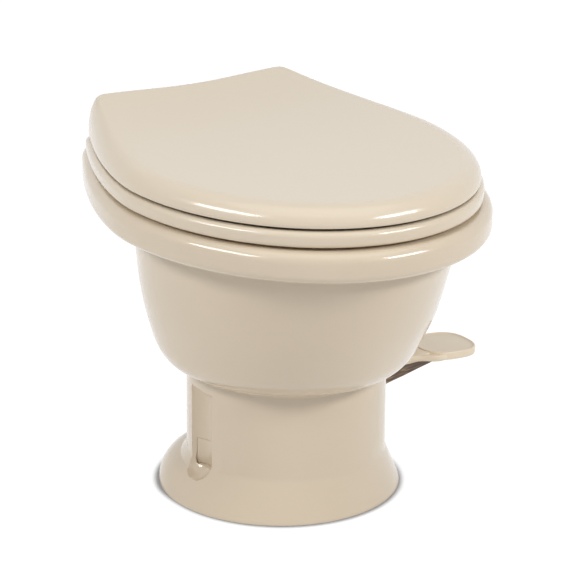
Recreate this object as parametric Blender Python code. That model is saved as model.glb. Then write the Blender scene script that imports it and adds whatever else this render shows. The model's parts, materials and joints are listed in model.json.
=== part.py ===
"""Low-profile RV toilet with a pedal flush: bowl, pedestal, seat, lid and flush mechanism.

Metres, +Z up. The toilet faces -Y, its pedal is at +X and the seat's hinge runs along X.
Everything is modelled round the upright axis of the drain, and moved at the end so that
the origin lies on the floor under the middle of the toilet's whole outline.
Each object is one sub-part; a moving piece has its origin on its joint's axis.
"""
import math

import bmesh
import bpy
from mathutils import Matrix, Vector

MM = 0.001

# Gaps and overruns that every piece shares
GAP = 0.3 * MM                # between pieces that touch
OVERRUN = 3 * MM              # how far a cutter passes the face it cuts
SINK = 1 * MM                 # how far joined shapes run into each other
WELD = 0.005 * MM             # points closer than this are one point
PLAN_POINTS = 40              # points round the egg-shaped plans
ROUND_POINTS = 20             # points round large round pieces
SMALL_POINTS = 10             # points round pins and small round pieces
SIDES = ("left", "right")
ENDS = ("front", "rear")

# Heights of the stack, from the floor up
NECK_Z = 139.5 * MM           # the bowl stands on the pedestal here
RIM_Z = 329.5 * MM            # top of the bowl's rim
LIP_HEIGHT = 30.5 * MM
SEAT_GAP = 3 * MM             # bumpers hold the seat this far off the rim
SEAT_THICK = 15.5 * MM
LID_GAP = 2.5 * MM            # and the lid this far off the seat
LID_EDGE = 20 * MM            # lid's thickness at the nose
LID_RISE = 23.5 * MM          # how much higher the lid's top is at its rear edge
SEAT_Z = RIM_Z + SEAT_GAP
SEAT_TOP_Z = SEAT_Z + SEAT_THICK
LID_Z = SEAT_TOP_Z + LID_GAP

# Plans seen from above: half width, reach to the nose, reach to the rear edge
LID_HALF = 182.5 * MM
LID_NOSE = 220 * MM
LID_REAR = 205 * MM
LID_CORNER = 120 * MM         # half width where the side meets the rear edge
LID_FILLET = 14 * MM
LID_DIP = 7 * MM              # hollow in the middle of the rear edge
LID_WALL = 3.5 * MM
LID_ROLL = 22 * MM            # how far in the rolled edge reaches the top at the nose
LID_REAR_ROLL = 12 * MM       # and at the rear edge
LID_FOOT_ROUND = 2 * MM
SEAT_PROUD = 3.2 * MM         # seat's outline stands out past the lid's
SEAT_ROUND = 6 * MM
SEAT_HOLE_HALF = 118 * MM
SEAT_HOLE_NOSE = 158 * MM
SEAT_HOLE_REAR = 104 * MM
SEAT_SLOPE = 3 * MM           # the top falls this much towards the hole
RIM_HALF = 193 * MM
RIM_NOSE = 235 * MM
RIM_REAR = 245 * MM
RIM_CORNER = 106 * MM
RIM_FILLET = 34 * MM
RIM_ROUND = 11 * MM
RIM_HOLE_HALF = 138 * MM
RIM_HOLE_NOSE = 176 * MM
RIM_HOLE_REAR = 106 * MM
RIM_HOLE_ROUND = 8 * MM

# Neck, outlet and the ball valve below it
NECK_R = 110 * MM             # the bowl's bottom edge
COLUMN_R = 104 * MM           # the pedestal's column
COLUMN_WALL = 6 * MM
OUTLET_R = 25 * MM
BALL_R = 50 * MM
BALL_Z = 84 * MM
BALL_ANGLE = math.radians(34)
BALL_WALL = 4 * MM
MODULE = 2.5 * MM             # size of the gear teeth
BALL_TEETH = 18
SECTOR_TEETH = 36
AXIS_SPACING = MODULE * (BALL_TEETH + SECTOR_TEETH) / 2
PEDAL_X = AXIS_SPACING
OUTLET_Z = BALL_Z + BALL_R    # underside of the bowl's outlet flange

HINGE_Y = 236 * MM
HINGE_Z = LID_Z + 4 * MM
HINGE_X = 62 * MM
HINGE_ROUND = 8 * MM


# Outlines, as lists of (x, y) pairs

SIDE_POWER = 1.6              # how suddenly a plan's sides draw in towards the rear


def even(points, count):
    """Return count points spaced evenly along the closed outline that points describe."""
    loop = list(points) + [points[0]]
    lengths = [0.0]
    for a, b in zip(loop, loop[1:]):
        lengths.append(lengths[-1] + math.hypot(b[0] - a[0], b[1] - a[1]))
    result = []
    k = 0
    for i in range(count):
        target = lengths[-1] * i / count
        while lengths[k + 1] < target:
            k += 1
        t = (target - lengths[k]) / (lengths[k + 1] - lengths[k])
        a, b = loop[k], loop[k + 1]
        result.append((a[0] + (b[0] - a[0]) * t, a[1] + (b[1] - a[1]) * t))
    return result


def egg(half, nose, rear, corner=0.0, fillet=0.0, dip=0.0, count=PLAN_POINTS):
    """An egg plan from the nose round +X: half an ellipse in front, a cut-off taper behind.

    With a corner width the rear is cut straight there, its corners are rounded by the
    fillet and the cut is hollowed by the dip. Without one the rear is half an ellipse too.
    """
    fine = 60
    side = [(half * math.sin(math.pi / 2 * i / fine), -nose * math.cos(math.pi / 2 * i / fine))
            for i in range(fine)]
    if not corner:
        side += [(half * math.cos(math.pi / 2 * i / fine), rear * math.sin(math.pi / 2 * i / fine))
                 for i in range(fine + 1)]
    else:
        side += [(half - (half - corner) * (i / fine) ** SIDE_POWER, rear * i / fine)
                 for i in range(fine + 1)]
        edge = [(corner * (1 - i / fine), rear - dip * math.sin(math.pi / 2 * i / fine) ** 2)
                for i in range(1, fine + 1)]
        tip = side[-1]
        side = [p for p in side if p[1] < 0 or math.dist(p, tip) > fillet]
        edge = [p for p in edge if math.dist(p, tip) > fillet]
        a, b = side[-1], edge[0]
        bend = []
        for i in range(1, 12):
            t = i / 12
            bend.append(tuple((1 - t) ** 2 * a[k] + 2 * t * (1 - t) * tip[k] + t * t * b[k]
                              for k in (0, 1)))
        side += bend + edge
    side += [(-x, y) for x, y in reversed(side[1:-1])]
    return even(side, count)


def circle(radius, count=ROUND_POINTS, centre=(0.0, 0.0), start=-math.pi / 2):
    """A circle that starts at its nose, so that it lofts to an egg plan."""
    return [(centre[0] + radius * math.cos(start + 2 * math.pi * i / count),
             centre[1] + radius * math.sin(start + 2 * math.pi * i / count))
            for i in range(count)]


def square(half, count=SMALL_POINTS):
    """A square with its sides along the axes, with as many points as a round section."""
    return even([(0.0, -half), (half, -half), (half, half), (-half, half), (-half, -half)], count)


def square_hole(centre, half):
    """A square outline for a hole, with its corners sharp."""
    return [(centre[0] + x * half, centre[1] + y * half) for x, y in ((-1, -1), (1, -1), (1, 1), (-1, 1))]


def box_plan(half_x, half_y, radius, count):
    """A rectangle with rounded corners."""
    points = [(0.0, -half_y)]
    for k, (sx, sy) in enumerate(((1, -1), (1, 1), (-1, 1), (-1, -1))):
        centre = (sx * (half_x - radius), sy * (half_y - radius))
        for i in range(6):
            angle = math.pi / 2 * (k - 1 + i / 5)
            points.append((centre[0] + radius * math.cos(angle), centre[1] + radius * math.sin(angle)))
    return even(points, count)


def arc(centre, radius, start, end, steps):
    """Points of an arc, in degrees from the first axis to the second."""
    return [(centre[0] + radius * math.cos(math.radians(start + (end - start) * i / steps)),
             centre[1] + radius * math.sin(math.radians(start + (end - start) * i / steps)))
            for i in range(steps + 1)]


def inset(points, distance):
    """Move a closed counterclockwise outline inwards along its normals.

    The distance may be a number or a function of x and y.
    """
    result = []
    count = len(points)
    for i, (x, y) in enumerate(points):
        a, b = points[i - 1], points[(i + 1) % count]
        dx, dy = b[0] - a[0], b[1] - a[1]
        move = (distance(x, y) if callable(distance) else distance) / math.hypot(dx, dy)
        result.append((x - dy * move, y + dx * move))
    return result


def scaled(points, share, centre=(0.0, 0.0)):
    return [(centre[0] + (x - centre[0]) * share, centre[1] + (y - centre[1]) * share)
            for x, y in points]


def level(points, z):
    """Lift an outline to a height, which may be a number or a function of x and y."""
    if callable(z):
        return [Vector((x, y, z(x, y))) for x, y in points]
    return [Vector((x, y, z)) for x, y in points]


# Solids

def material(name, colour, roughness, metallic=0.0):
    made = bpy.data.materials.get(name)
    if made is None:
        made = bpy.data.materials.new(name)
        made.use_nodes = True
        shader = made.node_tree.nodes["Principled BSDF"]
        shader.inputs["Base Color"].default_value = (*colour, 1.0)
        shader.inputs["Roughness"].default_value = roughness
        shader.inputs["Metallic"].default_value = metallic
    return made


def bone_ceramic():
    return material("bone_ceramic", (0.68, 0.60, 0.48), 0.12)


def bone_plastic():
    return material("bone_plastic", (0.72, 0.64, 0.52), 0.25)


def black_plastic():
    return material("black_plastic", (0.03, 0.03, 0.03), 0.5)


def white_plastic():
    return material("white_plastic", (0.80, 0.80, 0.78), 0.35)


def rubber():
    return material("rubber", (0.05, 0.05, 0.05), 0.8)


def steel():
    return material("steel", (0.60, 0.60, 0.60), 0.3, 1.0)


def brass():
    return material("brass", (0.75, 0.58, 0.30), 0.3, 1.0)


def outward(bm):
    """Turn the faces of a closed shape outwards."""
    if bm.calc_volume(signed=True) < 0:
        bmesh.ops.reverse_faces(bm, faces=bm.faces)
    return bm


def loft(rings, loop=False, crown=False):
    """Skin a list of rings, each a list of points, and close its ends unless it is a loop.

    The ends are flat faces; a crown closes them with a fan instead, for ends that are curved.
    """
    bm = bmesh.new()
    rows = [[bm.verts.new(p) for p in ring] for ring in rings]
    pairs = list(zip(rows, rows[1:]))
    if loop:
        pairs.append((rows[-1], rows[0]))
    for a, b in pairs:
        for i in range(len(a)):
            bm.faces.new((a[i - 1], a[i], b[i], b[i - 1]))
    if not loop and not crown:
        bm.faces.new(rows[0][::-1])
        bm.faces.new(rows[-1])
    if crown:
        for row in (rows[0][::-1], rows[-1]):
            middle = bm.verts.new(sum((v.co for v in row), Vector()) / len(row))
            for i in range(len(row)):
                bm.faces.new((row[i - 1], row[i], middle))
    return outward(bm)


def solid(name, bm, finish, pivot=(0.0, 0.0, 0.0)):
    """Make the object, with its origin at the pivot and its mesh left where it is."""
    mesh = bpy.data.meshes.new(name)
    bm.to_mesh(mesh)
    bm.free()
    mesh.transform(Matrix.Translation(-Vector(pivot)))
    mesh.materials.append(finish)
    mesh.shade_smooth()
    mesh.set_sharp_from_angle(angle=math.radians(35))
    made = bpy.data.objects.new(name, mesh)
    made.location = pivot
    bpy.context.collection.objects.link(made)
    return made


AXES = {
    "Z": Matrix.Identity(4),
    "Y": Matrix(((1, 0, 0, 0), (0, 0, 1, 0), (0, 1, 0, 0), (0, 0, 0, 1))),
    "X": Matrix(((0, 0, 1, 0), (1, 0, 0, 0), (0, 1, 0, 0), (0, 0, 0, 1))),
}


def turned_to(bm, axis, centre=(0.0, 0.0, 0.0)):
    """Lay a shape modelled along Z along another axis: its (u, v) are (x, z) for Y, (y, z) for X."""
    bm.transform(Matrix.Translation(centre) @ AXES[axis])
    return outward(bm)


def prism(points, start, end, axis="Z"):
    return turned_to(loft([level(points, start), level(points, end)]), axis)


def turned(profile, axis="Z", centre=(0.0, 0.0, 0.0), count=SMALL_POINTS, loop=False):
    """Turn a profile of (radius, height) pairs; a loop is a ring with a hole."""
    rings = [level(circle(r, count), h) for r, h in profile]
    return turned_to(loft(rings, loop), axis, centre)


def ring_profile(inner, outer, low, high):
    return [(inner, low), (outer, low), (outer, high), (inner, high)]


def temporary(bm):
    return solid("cutter", bm, steel())


def combine(target, tool, operation="DIFFERENCE"):
    """Apply a Boolean of the tool on the target, and delete the tool."""
    if not isinstance(tool, bpy.types.Object):
        tool = temporary(tool)
    modifier = target.modifiers.new(operation.lower(), "BOOLEAN")
    modifier.operation = operation
    modifier.object = tool
    bpy.context.view_layer.update()
    evaluated = target.evaluated_get(bpy.context.evaluated_depsgraph_get())
    mesh = bpy.data.meshes.new_from_object(evaluated)
    target.modifiers.clear()
    bm = bmesh.new()
    bm.from_mesh(mesh)
    bmesh.ops.remove_doubles(bm, verts=bm.verts, dist=WELD)
    bmesh.ops.dissolve_degenerate(bm, edges=bm.edges, dist=WELD)
    bm.to_mesh(mesh)
    bm.free()
    old = target.data
    target.data = mesh
    mesh.name = target.name
    mesh.set_sharp_from_angle(angle=math.radians(35))
    bpy.data.meshes.remove(old)
    bpy.data.objects.remove(tool)
    return target


def each(name, ends, shapes, finish, pivot=(0.0, 0.0, 0.0)):
    """One object for each of a set of like pieces, named for where it is."""
    return [solid(name + "_" + end, bm, finish, pivot) for end, bm in zip(ends, shapes)]


# Bowl

# Body of the bowl: height, half width, reach to the nose, reach to the rear
BODY_SECTIONS = (
    (141 * MM, 113.5 * MM, 116 * MM, 114 * MM),
    (144.5 * MM, 119.5 * MM, 124.5 * MM, 119.5 * MM),
    (150.5 * MM, 127.5 * MM, 135 * MM, 127 * MM),
    (163.5 * MM, 135.5 * MM, 147.5 * MM, 137.5 * MM),
    (180.5 * MM, 140.5 * MM, 157 * MM, 147 * MM),
    (205.5 * MM, 146 * MM, 169.5 * MM, 157 * MM),
    (231.5 * MM, 150 * MM, 181 * MM, 162 * MM),
    (257.5 * MM, 153 * MM, 192 * MM, 163 * MM),
    (281.5 * MM, 156 * MM, 202 * MM, 163 * MM),
)
LIP_UNDER = 4 * MM            # step from the body up to the lip's underside
LIP_ROUND = 8 * MM
# Inside of the bowl, from the outlet up to the rim's hole
INSIDE_SECTIONS = (
    (155.5 * MM, 30 * MM, 30 * MM, 30 * MM),
    (161.5 * MM, 60 * MM, 63 * MM, 57 * MM),
    (170.5 * MM, 85 * MM, 95 * MM, 78 * MM),
    (187.5 * MM, 109 * MM, 134 * MM, 93 * MM),
    (220.5 * MM, 127 * MM, 163 * MM, 102 * MM),
    (263.5 * MM, 138 * MM, 177 * MM, 109 * MM),
    (305.5 * MM, 140 * MM, 178 * MM, 109 * MM),
)
OUTLET_FLANGE_R = 45 * MM
OUTLET_FLANGE_THICK = 4 * MM
OUTLET_NECK_R = 38 * MM
BOWL_UNDER_Z = 148.5 * MM
FOOT_RING_WIDTH = 10 * MM     # the bowl stands on this ring
NOZZLE_Z = 277.5 * MM
NOZZLE_R = 6 * MM
BOLT_R = 4 * MM
POST_BOLT_X = 72 * MM
POST_BOLT_Y = 221 * MM


def rim_plan():
    return egg(RIM_HALF, RIM_NOSE, RIM_REAR, RIM_CORNER, RIM_FILLET)


def quarter(radius, steps):
    """(in, up) pairs of a quarter round, from a wall's top to the face above it."""
    return [(radius * (1 - math.cos(math.pi / 2 * i / steps)), radius * math.sin(math.pi / 2 * i / steps))
            for i in range(steps + 1)]


def make_bowl():
    """One ring of rings: up the outside, over the rim, down the inside and through the outlet."""
    rings = [level(circle(NECK_R, PLAN_POINTS), NECK_Z)]
    for z, half, nose, rear in BODY_SECTIONS:
        rings.append(level(egg(half, nose, rear), z))
    plan = rim_plan()
    lip_z = RIM_Z - LIP_HEIGHT
    z, half, nose, rear = BODY_SECTIONS[-1]
    rings.append(level(egg(half + LIP_UNDER, nose + LIP_UNDER, rear + LIP_UNDER), lip_z))
    for across, up in reversed(quarter(LIP_ROUND, 2)):
        rings.append(level(inset(plan, across), lip_z + LIP_ROUND - up))
    for across, up in quarter(RIM_ROUND, 3):
        rings.append(level(inset(plan, across), RIM_Z - RIM_ROUND + up))
    hole = egg(RIM_HOLE_HALF, RIM_HOLE_NOSE, RIM_HOLE_REAR)
    for across, up in reversed(quarter(RIM_HOLE_ROUND, 2)):
        rings.append(level(inset(hole, -across), RIM_Z - RIM_HOLE_ROUND + up))
    for z, half, nose, rear in reversed(INSIDE_SECTIONS):
        rings.append(level(egg(half, nose, rear), z))
    for radius, z in ((OUTLET_R, INSIDE_SECTIONS[0][0] - OUTLET_FLANGE_THICK),
                      (OUTLET_R, OUTLET_Z),
                      (OUTLET_FLANGE_R, OUTLET_Z),
                      (OUTLET_FLANGE_R, OUTLET_Z + OUTLET_FLANGE_THICK),
                      (OUTLET_NECK_R, OUTLET_Z + OUTLET_FLANGE_THICK),
                      (OUTLET_NECK_R, BOWL_UNDER_Z),
                      (NECK_R - FOOT_RING_WIDTH - LIP_UNDER, BOWL_UNDER_Z),
                      (NECK_R - FOOT_RING_WIDTH, NECK_Z)):
        rings.append(level(circle(radius, PLAN_POINTS), z))
    bowl = solid("bowl", loft(rings, loop=True), bone_ceramic())
    for side in (-1, 1):
        combine(bowl, turned([(BOLT_R + GAP, lip_z - LIP_HEIGHT), (BOLT_R + GAP, RIM_Z + OVERRUN)],
                             centre=(side * POST_BOLT_X, POST_BOLT_Y, 0.0)))
    combine(bowl, turned([(NOZZLE_R + GAP, RIM_HOLE_REAR - NOZZLE_R), (NOZZLE_R + GAP, RIM_REAR)], "Y",
                         (0.0, 0.0, NOZZLE_Z)))
    return bowl


# Pedestal

FOOT_R = COLUMN_R + 23.5 * MM
FOOT_SHIFT = 12.5 * MM        # the foot's centre lies this far behind the column's
FLARE_HEIGHT = 44 * MM        # the slanting flare in front
PLINTH_HEIGHT = 34 * MM       # the full-round plinth behind
FLARE_POWER = 1.05
WEB_Z = 9 * MM                # underside of the floor web inside the foot
WEB_THICK = 6 * MM
RECESS_R = FOOT_R - 26.5 * MM # hollow under the web
SPIGOT_R = 44 * MM            # drain spigot of the valve body
GROOVE_R = 24 * MM            # upright groove in each side
GROOVE_X = COLUMN_R + 11 * MM
GROOVE_TOE_Z = 26 * MM        # its lower end is round and stops here
GROOVE_TOP_Z = 124 * MM
GROOVE_WALL = 4 * MM
ACCESS_HALF = 17 * MM         # access opening to the floor bolt, in the groove
ACCESS_LOW_Z = GROOVE_TOE_Z + 10 * MM
ACCESS_TOP_Z = ACCESS_LOW_Z + 28 * MM
COVER_PLATE = 2.5 * MM
SLOT_HALF = 19 * MM           # slot for the pedal's arm
SLOT_LOW_Z = 56 * MM
SLOT_HIGH_Z = 117 * MM
BACK_Y = COLUMN_R - 15 * MM   # flat landing of the rear cover
BACK_HALF = 44 * MM
BACK_PAD_HALF = 48 * MM
BACK_LOW_Z = 53 * MM
BACK_HIGH_Z = 117 * MM
BACK_OPEN_HALF = 36.5 * MM
BACK_OPEN_EDGE = 6 * MM       # landing left above and below the opening
SCREW_R = 1.5 * MM
SCREW_X = 40.3 * MM
FLOOR_BOLT_X = GROOVE_X - 39 * MM
SEAL_WIDE = 14 * MM


def foot_plan(z):
    """Plan of the pedestal at a height: round column, hollow flare in front, plinth behind."""
    points = []
    for i in range(PLAN_POINTS):
        angle = -math.pi / 2 + 2 * math.pi * i / PLAN_POINTS
        flare = max(0.0, 1 - z / FLARE_HEIGHT) ** FLARE_POWER
        plinth = math.sqrt(max(0.0, 1 - (z / PLINTH_HEIGHT) ** 2))
        rear = min(1.0, max(0.0, (math.sin(angle) + 0.1) / 0.45))
        rear = rear * rear * (3 - 2 * rear)
        share = flare + (max(plinth, flare) - flare) * rear
        column = (COLUMN_R * math.cos(angle), COLUMN_R * math.sin(angle))
        foot = (FOOT_R * math.cos(angle), FOOT_SHIFT + FOOT_R * math.sin(angle))
        points.append(tuple(column[k] + (foot[k] - column[k]) * share for k in (0, 1)))
    return points


def block(low, high):
    """A box between two corners."""
    size = [high[k] - low[k] for k in range(3)]
    bm = bmesh.new()
    bmesh.ops.create_cube(bm, size=1.0)
    bm.transform(Matrix.Translation([(low[k] + high[k]) / 2 for k in range(3)])
                 @ Matrix.Diagonal((*size, 1.0)))
    return bm


def make_pedestal():
    top = NECK_Z - GAP
    levels_share = (0.0, 0.16, 0.34, 0.52, 0.68, 0.82, 0.94, 1.06, 1.3)
    rings = [level(foot_plan(PLINTH_HEIGHT * share), PLINTH_HEIGHT * share) for share in levels_share]
    rings.append(level(foot_plan(top), top))
    pedestal = solid("pedestal", loft(rings), bone_ceramic())
    groove = [(GROOVE_R * math.sin(turn), GROOVE_TOE_Z + GROOVE_R * (1 - math.cos(turn)))
              for turn in (0.25, 0.7, 1.1)]
    groove += [(GROOVE_R, GROOVE_TOE_Z + GROOVE_R), (GROOVE_R, GROOVE_TOP_Z)]
    for side in (-1, 1):
        combine(pedestal, turned(groove,
                                 centre=(side * GROOVE_X, 0.0, 0.0), count=ROUND_POINTS))
    inside = temporary(turned([(COLUMN_R - COLUMN_WALL, WEB_Z + WEB_THICK),
                               (COLUMN_R - COLUMN_WALL, NECK_Z + OVERRUN)], count=PLAN_POINTS))
    for side in (-1, 1):
        combine(inside, turned([(GROOVE_R + GROOVE_WALL, 0.0),
                                (GROOVE_R + GROOVE_WALL, GROOVE_TOP_Z + GROOVE_WALL)],
                               centre=(side * GROOVE_X, 0.0, 0.0), count=ROUND_POINTS))
    combine(inside, block((-BACK_PAD_HALF, BACK_Y - COLUMN_WALL, WEB_Z),
                          (BACK_PAD_HALF, COLUMN_R, NECK_Z + 2 * OVERRUN)))
    combine(pedestal, inside)
    combine(pedestal, turned([(RECESS_R, -OVERRUN), (RECESS_R, WEB_Z)], count=PLAN_POINTS))
    combine(pedestal, turned([(SPIGOT_R + GAP, 0.0), (SPIGOT_R + GAP, WEB_Z + WEB_THICK + OVERRUN)],
                             count=ROUND_POINTS))
    for side in (-1, 1):
        access = sorted((side * (COLUMN_R - 4 * COLUMN_WALL), side * (COLUMN_R - GROOVE_WALL)))
        combine(pedestal, block((access[0], -ACCESS_HALF, ACCESS_LOW_Z),
                                (access[1], ACCESS_HALF, ACCESS_TOP_Z)))
        combine(pedestal, turned([(BOLT_R + GAP, 0.0), (BOLT_R + GAP, WEB_Z + WEB_THICK + OVERRUN)],
                                 centre=(side * FLOOR_BOLT_X, 0.0, 0.0)))
    combine(pedestal, block((COLUMN_R - 4 * COLUMN_WALL, -SLOT_HALF, SLOT_LOW_Z),
                            (COLUMN_R + OVERRUN, SLOT_HALF, SLOT_HIGH_Z)))
    combine(pedestal, block((-BACK_HALF, BACK_Y, BACK_LOW_Z),
                            (BACK_HALF, FOOT_R + FOOT_SHIFT + OVERRUN, BACK_HIGH_Z)))
    combine(pedestal, block((-BACK_OPEN_HALF, BACK_Y - 4 * COLUMN_WALL, BACK_LOW_Z + BACK_OPEN_EDGE),
                            (BACK_OPEN_HALF, BACK_Y + OVERRUN, BACK_HIGH_Z - BACK_OPEN_EDGE)))
    for side in (-1, 1):
        combine(pedestal, turned([(SCREW_R + GAP, BACK_Y - 2 * COLUMN_WALL), (SCREW_R + GAP, BACK_Y + OVERRUN)],
                                 "Y", (side * SCREW_X, 0.0, BALL_Z)))
    return pedestal


def make_access_covers():
    """Curved plates that close the two openings to the floor bolts."""
    shapes = []
    inner = GROOVE_R + 2 * GAP
    outer = inner + COVER_PLATE
    reach = math.degrees(math.asin((ACCESS_HALF - 2 * GAP) / outer))
    for side in (-1, 1):
        centre = (side * GROOVE_X, 0.0)
        middle = 180 if side > 0 else 0
        outline = arc(centre, inner, middle - reach, middle + reach, 8)
        outline += arc(centre, outer, middle + reach, middle - reach, 8)
        shapes.append(prism(outline, ACCESS_LOW_Z + GAP, ACCESS_TOP_Z - GAP))
    return each("access_cover", SIDES, shapes, bone_plastic())


FLOOR_BOLT_HIGH_Z = 34 * MM
FLOOR_HEAD = 3 * MM
NUT_HIGH = 7 * MM


def make_floor_bolts():
    """T-head bolts up through the web, each with a flanged nut on it, and the seal under the drain."""
    bolts = []
    nuts = []
    top = WEB_Z + WEB_THICK
    for side in (-1, 1):
        centre = (side * FLOOR_BOLT_X, 0.0, 0.0)
        bolts.append(turned([(1.7 * BOLT_R, WEB_Z - GAP - FLOOR_HEAD), (1.7 * BOLT_R, WEB_Z - GAP),
                             (BOLT_R, WEB_Z - GAP), (BOLT_R, FLOOR_BOLT_HIGH_Z)], centre=centre))
        nuts.append(turned([(BOLT_R + GAP, top + GAP), (2.2 * BOLT_R, top + GAP),
                            (2.2 * BOLT_R, top + NUT_HIGH / 4), (1.7 * BOLT_R, top + NUT_HIGH / 3),
                            (1.7 * BOLT_R, top + NUT_HIGH), (BOLT_R + GAP, top + NUT_HIGH)],
                           centre=centre, loop=True))
    each("floor_bolt", SIDES, bolts, steel())
    each("floor_nut", SIDES, nuts, steel())
    seal = ring_profile(SPIGOT_R + GAP, SPIGOT_R + SEAL_WIDE, SINK, WEB_Z - GAP)
    solid("floor_seal", turned(seal, count=ROUND_POINTS, loop=True), rubber())


# Seat and lid

ARM_WIDE = 8 * MM
ARM_DEEP = 12.5 * MM
ARM_LAP = 9 * MM              # how far a hinge arm runs into the piece that it carries
POST_WIDE = 12 * MM
POST_PLATE = 6 * MM
PIN_R = 4 * MM
PIN_HEAD_R = 6.5 * MM
PIN_HEAD = 3 * MM
SEAT_ARM_X = HINGE_X - POST_WIDE / 2 - 2 * GAP - ARM_WIDE / 2
LID_ARM_X = HINGE_X + POST_WIDE / 2 + 2 * GAP + ARM_WIDE / 2
BUMPER_R = 9 * MM
PEG_R = 6 * MM


RISE_POWER = 4.6              # the top is nearly level in front and sweeps up behind


def lid_rise(x, y):
    """How much higher the lid's top is at a point than at its nose."""
    return LID_RISE * max(0.0, (y + LID_NOSE) / (LID_NOSE + LID_REAR)) ** RISE_POWER


def make_lid():
    """A tray upside down: rolled edge, walls, and a hinge arm at each side of the back."""
    plan = egg(LID_HALF, LID_NOSE, LID_REAR, LID_CORNER, LID_FILLET, LID_DIP)
    foot = LID_Z + LID_FOOT_ROUND

    def wide(x, y):
        return LID_ROLL + (LID_REAR_ROLL - LID_ROLL) * lid_rise(x, y) / LID_RISE

    def roll(angle, wall=0.0):
        """A ring of the rolled edge, from 0 at its foot to a right angle at the top."""
        def across(x, y):
            return wall + (wide(x, y) - wall / 2) * (1 - math.cos(angle))

        def high(x, y):
            return foot + (LID_EDGE - LID_FOOT_ROUND - wall + lid_rise(x, y)) * math.sin(angle)
        return level(inset(plan, across), high)

    def top(share, wall=0.0):
        return level(scaled(inset(plan, wide), share),
                     lambda x, y: LID_Z + LID_EDGE - wall + lid_rise(x, y))

    rings = [top(0.36, LID_WALL), top(0.7, LID_WALL)]
    rings += [roll(math.radians(angle), LID_WALL) for angle in (90, 48, 16)]
    rings.append(level(inset(plan, LID_WALL), LID_Z))
    rings.append(level(inset(plan, LID_FOOT_ROUND), LID_Z))
    rings += [roll(math.radians(angle)) for angle in (0, 18, 36, 54, 72, 90)]
    rings += [top(0.88), top(0.66), top(0.36)]
    lid = solid("lid", loft(rings, crown=True), bone_plastic(), (0.0, HINGE_Y, HINGE_Z))
    for side in (-1, 1):
        low = LID_REAR - LID_DIP - ARM_LAP
        outline = [(low, HINGE_Z - ARM_DEEP / 4), (HINGE_Y, HINGE_Z - HINGE_ROUND)]
        outline += arc((HINGE_Y, HINGE_Z), HINGE_ROUND, -90, 90, 8)[1:]
        outline += [(low, HINGE_Z + HINGE_ROUND)]
        arm = prism(outline, side * LID_ARM_X - ARM_WIDE / 2, side * LID_ARM_X + ARM_WIDE / 2, "X")
        combine(lid, arm, "UNION")
        combine(lid, pin_hole(side))
    return lid


def pin_hole(side):
    """Cutter for the hinge pin of one side."""
    reach = LID_ARM_X - HINGE_X + ARM_WIDE
    return turned([(PIN_R + GAP, side * HINGE_X - reach), (PIN_R + GAP, side * HINGE_X + reach)], "X",
                  (0.0, HINGE_Y, HINGE_Z))


def make_seat():
    """A ring with a round outer edge, whose top slopes to the hole, and two hinge arms."""
    plan = egg(LID_HALF + SEAT_PROUD, LID_NOSE + SEAT_PROUD, LID_REAR + SINK, LID_CORNER + SEAT_PROUD,
               LID_FILLET)
    hole = egg(SEAT_HOLE_HALF, SEAT_HOLE_NOSE, SEAT_HOLE_REAR)
    rings = []
    for across, up in reversed(quarter(SEAT_ROUND / 2, 2)):
        rings.append(level(inset(plan, across), SEAT_Z + SEAT_ROUND / 2 - up))
    for across, up in quarter(SEAT_ROUND, 3):
        rings.append(level(inset(plan, across), SEAT_TOP_Z - SEAT_ROUND + up))
    for across, up in reversed(quarter(SEAT_ROUND, 3)):
        rings.append(level(inset(hole, -across), SEAT_TOP_Z - SEAT_SLOPE - SEAT_ROUND + up))
    rings.append(level(hole, SEAT_Z + SEAT_ROUND / 2))
    rings.append(level(inset(hole, -SEAT_ROUND / 2), SEAT_Z))
    seat = solid("seat", loft(rings, loop=True), bone_plastic(), (0.0, HINGE_Y, HINGE_Z))
    for side in (-1, 1):
        low = LID_REAR - ARM_LAP
        floor = SEAT_Z + 2 * MM
        shelf = SEAT_TOP_Z - GAP
        outline = [(low, floor), (HINGE_Y + HINGE_ROUND, floor)]
        outline += arc((HINGE_Y, HINGE_Z), HINGE_ROUND, 0, 180, 8)
        outline += [(HINGE_Y - HINGE_ROUND, shelf), (low, shelf)]
        arm = prism(outline, side * SEAT_ARM_X - ARM_WIDE / 2, side * SEAT_ARM_X + ARM_WIDE / 2, "X")
        combine(seat, arm, "UNION")
        combine(seat, pin_hole(side))
    return seat


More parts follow.
